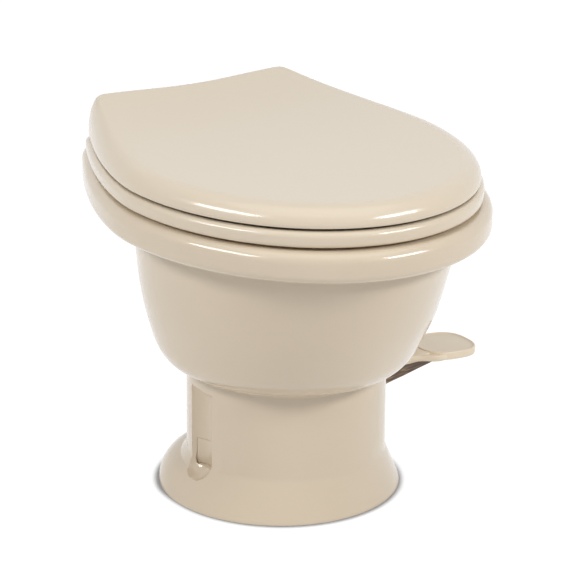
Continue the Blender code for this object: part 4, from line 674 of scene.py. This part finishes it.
def foot_outline(z, grooved, radius=GROOVE_R, thin=0.0):
    """The foot's outline, with the same points on each stretch at every height."""
    level = z if thin else max(z, GROOVE_TOE + 1.1)
    reach = radius if thin else groove_radius(level)

    def crossing(side, low, high):
        outside = math.dist(foot_point(low, level, thin), (side * GROOVE_X, 0.0)) > reach
        for _ in range(40):
            middle = (low + high) / 2
            away = math.dist(foot_point(middle, level, thin), (side * GROOVE_X, 0.0)) > reach
            low, high = (middle, high) if away == outside else (low, middle)
        return (low + high) / 2
    marks = [-math.pi / 2, crossing(1, -math.pi / 3, 0.0), crossing(1, 0.0, math.pi / 3),
             crossing(-1, 2 * math.pi / 3, math.pi), crossing(-1, math.pi, 4 * math.pi / 3),
             3 * math.pi / 2]
    points = []
    for k, count in enumerate((40, 14, 72, 14, 40)):
        for i in range(count):
            angle = marks[k] + (marks[k + 1] - marks[k]) * i / count
            point = foot_point(angle, z, thin)
            if k in (1, 3) and grooved:
                side = 1 if k == 1 else -1
                a = foot_point(marks[k], z, thin)
                b = foot_point(marks[k + 1], z, thin)
                start = math.atan2(a[1], a[0] - side * GROOVE_X) % (2 * math.pi)
                end = math.atan2(b[1], b[0] - side * GROOVE_X) % (2 * math.pi)
                if side < 0:
                    start, end = [(v + math.pi) % (2 * math.pi) - math.pi for v in (start, end)]
                turn = start + (end - start) * i / count
                point = (side * GROOVE_X + reach * math.cos(turn), reach * math.sin(turn))
            points.append(point)
    return points


print("foot outline points:", len(foot_outline(50, True)))

# %% Pedestal
low_edge = 1.2
rings = [at(inset(foot_outline(0.0, False), low_edge), 0.0)]
rings += [at(inset(foot_outline(rise, False), across), rise) for across, rise in
          ((low_edge * 0.3, low_edge * 0.3), (0.0, low_edge))]
rings += [at(foot_outline(z, False), z) for z in (4, 8, 12, 16, 19, 22, 24.5, 26.6)]
rings += [at(foot_outline(z, True), z) for z in
          (27.1, 27.7, 28.4, 29.2, 30.2, 31.2, 32.2, 33.2, 34, 35.5, 37, 39, 41.5, 44, 47, 50, 62, 80,
           100, GROOVE_TOP)]
rings += [at(foot_outline(z, False), z) for z in (GROOVE_TOP, COLUMN_TOP)]
wall = 6
groove_wall = GROOVE_R + 4
inner_top = GROOVE_TOP + 4
rings += [at(foot_outline(z, grooved, groove_wall, wall), z) for z, grooved in
          ((COLUMN_TOP, False), (inner_top, False), (inner_top, True), (15, True))]
rings += [at(circle(radius, len(rings[0])), z) for radius, z in
          ((SPIGOT_R, 15), (SPIGOT_R, 9), (FLANGE_R, 9), (FLANGE_R, 0.0))]
pedestal = extrude_rings("pedestal_casting", rings)
for side in (-1, 1):
    xs = sorted((side * 80, side * 100))
    cut(pedestal, box_tool((xs[0], -17, 36), (xs[1], 17, 64)))
    x = side * FLOOR_BOLT_X
    cut(pedestal, rod((x, 0.0, 5), (x, 0.0, 18), PIN_HOLE, 32))
# The slot for the pedal's arm, the flat landing at the back and the opening inside it.
cut(pedestal, box_tool((80, -19, 56), (107, 19, 117)))
cut(pedestal, box_tool((-44, BACK_Y, 53), (44, 143, 117)))
cut(pedestal, box_tool((-36.5, 65, 59), (36.5, 92, 111)))
for side in (-1, 1):
    x = side * COVER_SCREW_X
    cut(pedestal, rod((x, 77, BALL_Z), (x, 92, BALL_Z), COVER_SCREW_HOLE, 24))
finish_piece(pedestal, "base", "bone_ceramic", ["pedestal"])

# %% [markdown]
# ## The lid
# The lid is a thin moulded tray, upside down. Its rim rolls over from the foot to a top that is
# nearly level in front and sweeps up to the hinges, and the rear edge is hollowed in the middle.
# A flat plate bent by a modifier would stretch, so each ring takes its height from a function.

# %% Lid shape
LID_Z = 350.5
LID_NOSE = 220
LID_REAR = 205
LID_EDGE = 20
LID_RISE = 23.5
LID_WALL = 3.5
LID_FOOT_ROUND = 2
LID_SWEEP = 4.6
ROLL_FRONT = 22
ROLL_REAR = 12
lid_plan = egg(182.5, LID_NOSE, LID_REAR, 120, 14, 7)


def lid_rise(x, y):
    """How much higher the lid's top is here than at its nose."""
    return LID_RISE * max(0.0, (y + LID_NOSE) / (LID_NOSE + LID_REAR)) ** LID_SWEEP


def roll_width(x, y):
    """How far in the rolled edge reaches, more in front than behind."""
    return ROLL_FRONT - (ROLL_FRONT - ROLL_REAR) * lid_rise(x, y) / LID_RISE


def lid_roll(angle, wall=0.0):
    """A ring of the rolled edge, from 0 at its foot to a right angle at the top."""
    def across(x, y):
        return wall + (roll_width(x, y) - wall / 2) * (1 - math.cos(angle))

    def high(x, y):
        tall = LID_EDGE - LID_FOOT_ROUND - wall + lid_rise(x, y)
        return LID_Z + LID_FOOT_ROUND + tall * math.sin(angle)
    return at(inset(lid_plan, across), high)


def lid_top(share, wall=0.0):
    """A ring of the top, shrunk towards the middle by a share."""
    ring = [(x * share, y * share) for x, y in inset(lid_plan, roll_width)]
    return at(ring, lambda x, y: LID_Z + LID_EDGE - wall + lid_rise(x, y))


# %% Lid
rings = [lid_top(share, LID_WALL) for share in (0.02, 0.2, 0.4, 0.6, 0.75, 0.88)]
rings += [lid_roll(math.radians(angle), LID_WALL) for angle in (90, 75, 60, 45, 30, 15, 4)]
rings.append(at(inset(lid_plan, LID_WALL), LID_Z))
rings.append(at(inset(lid_plan, LID_FOOT_ROUND), LID_Z))
rings.append(at(inset(lid_plan, LID_FOOT_ROUND * 0.3), LID_Z + LID_FOOT_ROUND * 0.3))
rings += [lid_roll(math.radians(angle)) for angle in range(0, 91, 6)]
rings += [lid_top(share) for share in
          (0.97, 0.93, 0.88, 0.82, 0.74, 0.65, 0.55, 0.45, 0.34, 0.23, 0.12, 0.02)]
lid = extrude_rings("lid_shell", rings, "caps")
print("lid rings:", len(rings))

# %% [markdown]
# ## Hinge arms
# Each hinge is a post on the rim between two arms: the seat's arm on its inner side and the lid's
# on its outer side, with one pin through all three. An arm is a flat outline with a round end,
# pulled out sideways, softened, and joined to its moulding before the pin's hole is drilled.

# %% Arms of the lid
HINGE_Y = 236
HINGE_Z = 354.5
HINGE_ROUND = 8
ARM_WIDE = 8
LID_ARM_X = 72.6
SEAT_ARM_X = 51.4
LID_ARM_ROOT = 189
SEAT_ARM_ROOT = 196


def drill(piece, start, end):
    """Drill a piece for the hinge pin, from one place across to another."""
    cut(piece, rod((start, HINGE_Y, HINGE_Z), (end, HINGE_Y, HINGE_Z), PIN_HOLE))


def add_arm(piece, outline, middle):
    """Join a hinge arm to its moulding and drill it for the pin."""
    arm = slab("arm", outline, "X", middle - ARM_WIDE / 2, middle + ARM_WIDE / 2)
    soften(arm, 1.0, 3, 60)
    cut(piece, arm, "UNION")
    drill(piece, middle - ARM_WIDE, middle + ARM_WIDE)


for side in (-1, 1):
    outline = [(LID_ARM_ROOT, HINGE_Z - 3.1), (HINGE_Y, HINGE_Z - HINGE_ROUND)]
    outline += arc((HINGE_Y, HINGE_Z), HINGE_ROUND, -90, 90, 20)[1:]
    outline.append((LID_ARM_ROOT, HINGE_Z + HINGE_ROUND))
    add_arm(lid, outline, side * LID_ARM_X)
finish_piece(lid, "lid_body", "bone_plastic", ["lid"])

# %% [markdown]
# ## The seat
# The seat is a thick ring with soft edges. Its top falls a little towards the hole, so that water
# runs inwards, and its outline stands just proud of the lid's. A squashed torus would give only
# a round section, so the seat is ringed like the bowl, with a corner round of its own at each edge.

# %% Seat
SEAT_Z = 332.5
SEAT_TOP_Z = 348
SEAT_ROUND = 6
SEAT_SLOPE = 3
seat_plan = egg(185.7, 223.2, 206, 123.2, 14)
seat_hole = egg(118, 158, 104)
rings = []
for across, rise in reversed(round_off(SEAT_ROUND / 2, 4)):
    rings.append(at(inset(seat_plan, across), SEAT_Z + SEAT_ROUND / 2 - rise))
for across, rise in round_off(SEAT_ROUND, 8):
    rings.append(at(inset(seat_plan, across), SEAT_TOP_Z - SEAT_ROUND + rise))
outer = inset(seat_plan, SEAT_ROUND)
inner = inset(seat_hole, -SEAT_ROUND)
for share in (0.2, 0.4, 0.6, 0.8):
    ring = [tuple(a[k] + (b[k] - a[k]) * share for k in (0, 1)) for a, b in zip(outer, inner)]
    rings.append(at(ring, SEAT_TOP_Z - SEAT_SLOPE * share))
for across, rise in reversed(round_off(SEAT_ROUND, 8)):
    rings.append(at(inset(seat_hole, -across), SEAT_TOP_Z - SEAT_SLOPE - SEAT_ROUND + rise))
for across, rise in round_off(SEAT_ROUND / 2, 4)[1:]:
    rings.append(at(inset(seat_hole, -across), SEAT_Z + SEAT_ROUND / 2 - rise))
seat = extrude_rings("seat_ring", rings)
for side in (-1, 1):
    outline = [(SEAT_ARM_ROOT, SEAT_Z + 2), (HINGE_Y + HINGE_ROUND, SEAT_Z + 2)]
    outline += arc((HINGE_Y, HINGE_Z), HINGE_ROUND, 0, 180, 20)
    outline += [(HINGE_Y - HINGE_ROUND, SEAT_TOP_Z - 0.3), (SEAT_ARM_ROOT, SEAT_TOP_Z - 0.3)]
    add_arm(seat, outline, side * SEAT_ARM_X)
finish_piece(seat, "seat_body", "bone_plastic", ["seat"])

# %% [markdown]
# ## Hinge posts and pins
# The posts are bolted down through the rim. Each is a foot plate with an upright whose top is as
# round as the arms beside it. The pin has a flat head on the inside and a snap cap on the outside.
# Bolts and wing nuts of nylon clamp the posts, because nylon gives way before the ceramic cracks.
# Turned pieces are lathed from a profile, which is quicker than a cylinder that is cut and filled.

# %% Posts
POST_LOW = 329.8
POST_TOP = 335.8
POST_INNER = 56
POST_OUTER = 76.6
UPRIGHT_OUTER = 68
for side, word in SIDES:
    xs = sorted((side * POST_INNER, side * POST_OUTER))
    post = box_tool((xs[0], 211, POST_LOW), (xs[1], 244, POST_TOP))
    post.name = post.data.name = "hinge_post_%s_moulding" % word
    outline = [(HINGE_Y - HINGE_ROUND, POST_LOW + 1), (HINGE_Y + HINGE_ROUND, POST_LOW + 1)]
    outline += arc((HINGE_Y, HINGE_Z), HINGE_ROUND, 0, 180, 24)
    xs = sorted((side * POST_INNER, side * UPRIGHT_OUTER))
    cut(post, slab("upright", outline, "X", *xs), "UNION")
    soften(post, 1.2, 3, 50)
    drill(post, side * 50, side * 80)
    x, y = side * SEAT_BOLT[0], SEAT_BOLT[1]
    cut(post, rod((x, y, 325), (x, y, 340), PIN_HOLE))
    finish_piece(post, "base", "bone_plastic", ["hinge_post_" + word])

# %% Pins, caps and bolts
for side, word in SIDES:
    x, y = side * SEAT_BOLT[0], SEAT_BOLT[1]
    profile = [(3.2, 44.1), (5.9, 44.1), (6.5, 44.7), (6.5, 47.1), (4.0, 47.1), (4.0, 79.3),
               (3.4, 79.9)]
    pin = lathe("hinge_pin_%s_steel" % word, [(a, side * b) for a, b in profile], "X",
                (0.0, HINGE_Y, HINGE_Z))
    finish_piece(pin, "base", "steel", ["hinge_pin_" + word])
    profile = [(4.3, 76.9), (6.5, 76.9), (6.5, 79.2), (5.9, 79.9), (4.3, 79.9)]
    cap = lathe("hinge_clip_%s_steel" % word, [(a, side * b) for a, b in profile], "X",
                (0.0, HINGE_Y, HINGE_Z), "loop")
    finish_piece(cap, "base", "steel", ["hinge_clip_" + word])
    profile = [(3.2, 289.4), (4.0, 290.2), (4.0, 336.1), (6.8, 336.1), (6.8, 338.9), (6.1, 340.0),
               (5.0, 340.1)]
    bolt = lathe("seat_bolt_%s_nylon" % word, profile, "Z", (x, y, 0.0))
    cut(bolt, box_tool((x - 5, y - 0.8, 338.6), (x + 5, y + 0.8, 341)))
    finish_piece(bolt, "base", "white_plastic", ["seat_bolt_" + word])

# %% Wing nuts
for side, word in SIDES:
    x, y = side * SEAT_BOLT[0], SEAT_BOLT[1]
    profile = [(4.3, 289.7), (7.2, 289.7), (8.0, 290.5), (8.0, 298.7), (4.3, 298.7)]
    nut = lathe("wing_nut_%s_nylon" % word, profile, "Z", (x, y, 0.0), "loop")
    for way in (-1, 1):
        wing = [(7.2, 291.5), (13.0, 290.0), (16.2, 290.6), (17.0, 293.0), (16.4, 295.6),
                (14.0, 297.0), (7.2, 297.0)]
        plate = slab("wing", [(x + way * a, b) for a, b in wing], "Y", y - 1.5, y + 1.5)
        soften(plate, 0.7, 2, 30)
        cut(nut, plate, "UNION")
    finish_piece(nut, "base", "white_plastic", ["wing_nut_" + word])

# %% [markdown]
# ## The flush pedal
# The pedal is one moulding: a hub on the shaft, a ribbed arm out through the slot, and a round
# cornered pad with a thin raised bead round its top. Underneath, the pad is hollow and the arm is
# open, so that ribs show in the shade below its side walls. Sculpting would smear those walls, so
# each one is a flat outline pulled out sideways, softened, and joined to the others. A neck widens
# the arm towards the pad, and a tilted bridge brings its top level with the bead.

# %% Pad
PAD_MIDDLE = (198.1, 117.3)
PAD_LONG = 33.5
PAD_HALF = 31
PAD_POWER = 2.8
PAD_TILT = math.radians(3.2)


def pad_ring(across, up, count=96):
    """A ring of the pad, so far in from its edge and so far up from its top's plane."""
    ring = []
    for i in range(count):
        c, d = math.cos(2 * math.pi * i / count), math.sin(2 * math.pi * i / count)
        u = (PAD_LONG - across) * math.copysign(abs(c) ** (2 / PAD_POWER), c)
        v = (PAD_HALF - across) * math.copysign(abs(d) ** (2 / PAD_POWER), d)
        ring.append(spot(PAD_MIDDLE[0] + u * math.cos(PAD_TILT) + up * math.sin(PAD_TILT), v,
                         PAD_MIDDLE[1] - u * math.sin(PAD_TILT) + up * math.cos(PAD_TILT)))
    return ring


section = [(30, -4.2), (3.4, -4.2), (2.6, -5.0), (2.5, -8.2), (2.0, -8.7), (0.7, -8.7), (0.1, -8.2),
           (0, -7), (0, -1.6), (0.15, -0.7), (0.6, -0.1), (1.2, 0.1), (1.9, -0.1), (2.5, -0.6),
           (3.2, -0.95), (4.5, -1.1), (9, -1.0), (16, -0.8), (24, -0.65), (30, -0.6)]
pedal = extrude_rings("pedal_moulding", [pad_ring(*pair) for pair in section], "caps")

# %% Arm of the pedal
PEDAL_X = 67.5
ARM_HALF = 15
ARM_TOP = 116.4
RIB_OUT = 0.63
RIB_DOWN = 0.43
crest = [(65, 94.8), (82, 97.5), (98.7, 101.5), (112, 106.2), (124, 110.6), (138, 114.4),
         (152, 116.6), (174, 116.6)]
# Each place along the arm, with where its side walls end and where its middle rib ends.
hems = [(183, 111, 111), (179.3, 106, 104.3), (159.2, 108, 99.8), (139.4, 107.6, 94.9),
        (126.9, 104.5, 92.3), (115.3, 99.6, 89.6), (98, 92, 83.4), (67.5, 80, 73.2)]
skin = slab("skin", crest + [(x, z - 4) for x, z in reversed(crest)], "Y", -ARM_HALF, ARM_HALF)
walls = [(skin, 1.4)]
for near, far, share in ((-15, -12.6, 0.0), (-10.8, -9.2, 0.45), (-6.8, -5.2, 0.75), (-1.4, 1.4, 1.0),
                         (5.2, 6.8, 0.75), (9.2, 10.8, 0.45), (12.6, 15, 0.0)):
    low = []
    for x, wall_z, rib_z in hems:
        behind = ARM_HALF - abs(near) if 110 < x < 182 else 0
        low.append((x + RIB_OUT * behind * share,
                    wall_z + (rib_z - RIB_DOWN * behind - wall_z) * share))
    walls.append((slab("rib", [(x, z - 1.5) for x, z in crest] + low, "Y", near, far), 0.5))

# %% Neck and hub
neck = [(138, 14.6), (150, 17), (160, 21.5), (168, 27.5), (174, 30.2), (184, 30.2)]
bridge = [(146, 14.8), (156, 17.5), (163, 20.5), (168, 21)]
for name, plan, low, width in (("neck", neck, 109.4, 1.6), ("bridge", bridge, 112, 1.2)):
    plan = [(x, -y) for x, y in plan] + plan[::-1]
    walls.append((slab(name, plan, "Z", low, ARM_TOP), width))
hold = Matrix.Translation(spot(150, 0.0, ARM_TOP))
walls[-1][0].data.transform(hold @ Matrix.Rotation(math.radians(-6), 4, "Y") @ hold.inverted())
for wall_piece, width in walls:
    soften(wall_piece, width, 2, 45)
    cut(pedal, wall_piece, "UNION")
hub = [(10.8, -17), (12, -16), (12, 16), (10.8, 17)]
cut(pedal, lathe("hub", hub, "Y", (PEDAL_X, 0.0, BALL_Z)), "UNION")
cut(pedal, rod((PEDAL_X, -20, BALL_Z), (PEDAL_X, 20, BALL_Z), 6))
finish_piece(pedal, "pedal_body", "bone_plastic", ["pedal"], 45, "tread_plastic_and_painted_shade")

# %% [markdown]
# ## Covers of the foot
# A curved plate closes the hole to each floor bolt, flush with the groove round it. At the back a
# flat plate closes the works, and the water inlet and the rinse pipe come out through it.

# %% Access covers
for side, word in SIDES:
    middle = 180 if side > 0 else 0
    bend_out = [(side * GROOVE_X + radius * math.cos(math.radians(middle + turn)),
                 radius * math.sin(math.radians(middle + turn)))
                for radius, turns in ((24.05, range(-44, 45, 4)), (26.6, range(40, -41, -4)))
                for turn in turns]
    plate = slab("access_cover_%s_plate" % word, bend_out, "Z", 36.3, 63.7)
    soften(plate, 0.35, 2, 40)
    finish_piece(plate, "base", "bone_plastic", ["access_cover_" + word], finish="bone_glaze")

# %% Rear cover
INLET_X = 24
HOSE_PORT_Z = 105


def panel(name, half, low, high, front, back, round_edge):
    """A soft-edged plate that stands across the back."""
    made = slab(name, [(-half, low), (half, low), (half, high), (-half, high)], "Y", front, back)
    soften(made, round_edge)
    return made


cover = panel("rear_cover_plate", 43.7, 53.3, 116.7, 89.3, 93.3, 1.2)
cut(cover, panel("raised", 37, 59.5, 110.5, 91, 94.3, 0.9), "UNION")
for x, z, radius in ((INLET_X, BALL_Z, 7.3), (INLET_X, HOSE_PORT_Z, 5.3),
                     (-COVER_SCREW_X, BALL_Z, COVER_SCREW_HOLE),
                     (COVER_SCREW_X, BALL_Z, COVER_SCREW_HOLE)):
    cut(cover, rod((x, 80, z), (x, 110, z), radius))
finish_piece(cover, "base", "bone_plastic", ["rear_cover"])
for side, word in SIDES:
    profile = [(1.5, 77), (1.5, 93.6), (3.0, 93.6), (3.0, 94.2), (2.3, 95.0), (1.2, 95.2)]
    x = side * COVER_SCREW_X
    screw = lathe("cover_screw_%s_steel" % word, profile, "Y", (x, 0.0, BALL_Z), points=32)
    for wide, tall in ((1.9, 0.45), (0.45, 1.9)):
        cut(screw, box_tool((x - wide, 94.3, BALL_Z - tall), (x + wide, 96, BALL_Z + tall)))
    finish_piece(screw, "base", "steel", ["cover_screw_" + word])

# %% [markdown]
# ## The rinse line
# Water comes in at the back, passes the valve, and goes up a hose to the vacuum breaker, which
# stops dirty water from running back. From there a short nozzle pierces the bowl. The hose is a
# round tube along a smooth bend, and the other pieces are turned.

# %% Hose
HOSE_R = 8
HOSE_BORE = 5.3
BREAKER_Y = 200
pulls = ((INLET_X, 126, HOSE_PORT_Z), (INLET_X, 176, HOSE_PORT_Z), (0, BREAKER_Y, 183.5),
         (0, BREAKER_Y, 226.5))
route = [(INLET_X, y, HOSE_PORT_Z) for y in (93.6, 104, 115)]
for i in range(25):
    t = i / 24
    weights = ((1 - t) ** 3, 3 * t * (1 - t) ** 2, 3 * t * t * (1 - t), t ** 3)
    route.append(tuple(sum(w * p[k] for w, p in zip(weights, pulls)) for k in range(3)))
route += [(0, BREAKER_Y, z) for z in (233, 240, 245.2)]
route = [spot(*point) for point in route]


def hose_rings(radius):
    """Rings square to the route, which never runs along X."""
    rings = []
    for i, point in enumerate(route):
        along = (route[min(i + 1, len(route) - 1)] - route[max(i - 1, 0)]).normalized()
        across = Vector((1.0, 0.0, 0.0))
        across = (across - along * across.dot(along)).normalized()
        upright = along.cross(across)
        rings.append([point + (across * math.cos(turn) + upright * math.sin(turn)) * radius * MM
                      for turn in (2 * math.pi * k / 40 for k in range(40))])
    return rings


hose = extrude_rings("rinse_hose_rubber", hose_rings(HOSE_R) + hose_rings(HOSE_BORE)[::-1])
finish_piece(hose, "base", "rubber", ["rinse_hose"])

# %% Vacuum breaker and nozzle
profile = [(4.4, 231.5), (5, 232.2), (5, 245.5), (12.2, 245.5), (13, 246.3), (13, 250.5), (13.4, 251),
           (13.4, 253), (13, 253.5), (13, 288.5), (15.4, 288.5), (16, 289.1), (16, 290.4), (15, 291.4),
           (10, 291.5), (9.5, 291.1), (4, 291.1)]
breaker = lathe("vacuum_breaker_body", profile, "Z", (0.0, BREAKER_Y, 0.0))
cut(breaker, rod((0.0, 178, NOZZLE_Z), (0.0, BREAKER_Y, NOZZLE_Z), 9), "UNION")
cut(breaker, rod((0.0, 170, NOZZLE_Z), (0.0, 187, NOZZLE_Z), NOZZLE_HOLE))
for i in range(8):
    turn = math.radians(22.5 + 45 * i)
    x, y = 12.4 * math.sin(turn), BREAKER_Y + 12.4 * math.cos(turn)
    cut(breaker, rod((x, y, 290.6), (x, y, 293), 1.2, 20))
finish_piece(breaker, "base", "black_plastic", ["vacuum_breaker"])
profile = [(5.4, 102.6), (7.6, 103.0), (8.8, 104.2), (9, 106), (9, 108.4), (6, 108.4), (6, 186.7)]
nozzle = lathe("spray_nozzle_body", profile, "Y", (0.0, 0.0, NOZZLE_Z))
for turn in (math.radians(degrees) for degrees in (-40, 0, 40)):
    x, z = 4.6 * math.sin(turn), NOZZLE_Z - 4.6 * math.cos(turn)
    cut(nozzle, rod((x, 100, z), (x, 105, z), 0.9, 20))
finish_piece(nozzle, "base", "black_plastic", ["spray_nozzle"])

# %% Inlet nut
hexagon = arc((INLET_X, BALL_Z), 12, 0, 300, 5)
nut = slab("inlet_nut_nylon", hexagon, "Y", 93.9, 98.6)
soften(nut, 0.6, 2, 30)
cut(nut, rod((INLET_X, 90, BALL_Z), (INLET_X, 102, BALL_Z), 7.9))
finish_piece(nut, "base", "white_plastic", ["inlet_nut"])

# %% [markdown]
# ## Bumpers
# Four rubber pads keep the seat off the rim, and two pegs under the lid rest on the seat. Each is
# a turned button with soft edges.

# %% Bumpers
for name in [part["node"] for part in frame["record"]["subparts"] if "bumper" in part["node"]]:
    low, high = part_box(name)
    centre = ((low + high) / 2 - Vector((DRAIN_X, DRAIN_Y, 0.0))) / MM
    radius = 9 if name.startswith("seat") else 6
    edge = 0.7
    half = [(radius - edge, 0.0), (radius - 0.3 * edge, 0.3 * edge), (radius, edge)]
    profile = [(r, low.z / MM + rise) for r, rise in half]
    profile += [(r, high.z / MM - rise) for r, rise in reversed(half)]
    button = lathe(name + "_rubber", profile, "Z", (centre.x, centre.y, 0.0), points=40)
    finish_piece(button, "seat_body" if name.startswith("seat") else "lid_body", "rubber", [name])

# %% [markdown]
# ## The studio
# The photograph was lit by two long soft lamps, one at each side of the camera, which draw the
# short bars of light on the lid, the seat and the rim. A white room fills the rest. The floor is
# white too: seen directly it shines by itself, and it darkens only where something stands close
# to it, so that a thin contact shadow runs round the foot and the rest of the paper is plain white.

# %% Floor
def plain(grey):
    """A grey as a colour."""
    return (grey, grey, grey, 1.0)


def seen_directly(tree):
    """1 for the camera, and for what gloss and glass show, and 0 for light on its way."""
    path = tree.nodes.new("ShaderNodeLightPath")
    rays = [Sum(tree, path.outputs[name]) for name in
            ("Is Camera Ray", "Is Glossy Ray", "Is Transmission Ray")]
    return (rays[0] + rays[1] + rays[2]).between(0.0, 1.0)


def show(seen, shown, other, kind):
    """Send one shader to what is seen directly and another to all other light."""
    pick = seen.node("ShaderNodeMixShader", n0=seen, n1=Sum(seen.tree, other.outputs[0]),
                     n2=Sum(seen.tree, shown.outputs[0]))
    seen.node(kind, Surface=Sum(seen.tree, pick.outputs[0]))


CONTACT_REACH = 11 * MM
bpy.ops.object.select_all(action="DESELECT")
bpy.ops.mesh.primitive_plane_add(size=12.0, location=(DRAIN_X, DRAIN_Y, 0.0))
floor = bpy.context.object
floor.name = "studio_floor"
paper = bpy.data.materials.new("studio_paper")
paper.use_nodes = True
paper.node_tree.nodes.clear()
seen = seen_directly(paper.node_tree)
matt = seen.node("ShaderNodeBsdfDiffuse", Color=plain(0.9))
faint = seen.node("ShaderNodeBsdfDiffuse", Color=plain(0.14))
corner = seen.node("ShaderNodeAmbientOcclusion", {"samples": 12}, Distance=CONTACT_REACH)
glow = Sum(seen.tree, corner.outputs["AO"]).between(0.62, 0.97) * 0.8 + 0.17
shine = seen.node("ShaderNodeEmission", Strength=glow)
both = seen.node("ShaderNodeAddShader", n0=Sum(seen.tree, faint.outputs[0]),
                 n1=Sum(seen.tree, shine.outputs[0]))
show(seen, both, matt, "ShaderNodeOutputMaterial")
floor.data.materials.append(paper)

# %% Room
world = bpy.data.worlds.new("studio_room")
bpy.context.scene.world = world
world.use_nodes = True
world.node_tree.nodes.clear()
seen = seen_directly(world.node_tree)
dim = seen.node("ShaderNodeBackground", Color=plain(1.0), Strength=0.24)
white = seen.node("ShaderNodeBackground", Color=plain(1.0), Strength=1.0)
show(seen, white, dim, "ShaderNodeOutputWorld")


# %% Lamps
def lamp(name, azimuth, elevation, distance, width, height, power):
    """A soft box that faces the bowl. Azimuth 0 is in front of it and 90 at its right."""
    light = bpy.data.lights.new(name, "AREA")
    light.shape = "RECTANGLE"
    light.size = width
    light.size_y = height
    light.energy = power
    made = bpy.data.objects.new(name, light)
    bpy.context.scene.collection.objects.link(made)
    a, e = math.radians(azimuth), math.radians(elevation)
    away = Vector((math.sin(a) * math.cos(e), -math.cos(a) * math.cos(e), math.sin(e)))
    made.rotation_mode = "QUATERNION"
    made.rotation_quaternion = away.to_track_quat("Z", "Y")
    made.location = Vector((DRAIN_X, DRAIN_Y, 0.25)) + away * distance


lamp("left_box", -90, 36, 2.6, 1.5, 0.45, 30)
lamp("right_box", 26, 32, 2.6, 1.3, 0.45, 34)
lamp("top_box", -30, 80, 2.8, 3.0, 3.0, 22)
bpy.context.scene.view_settings.view_transform = "Standard"
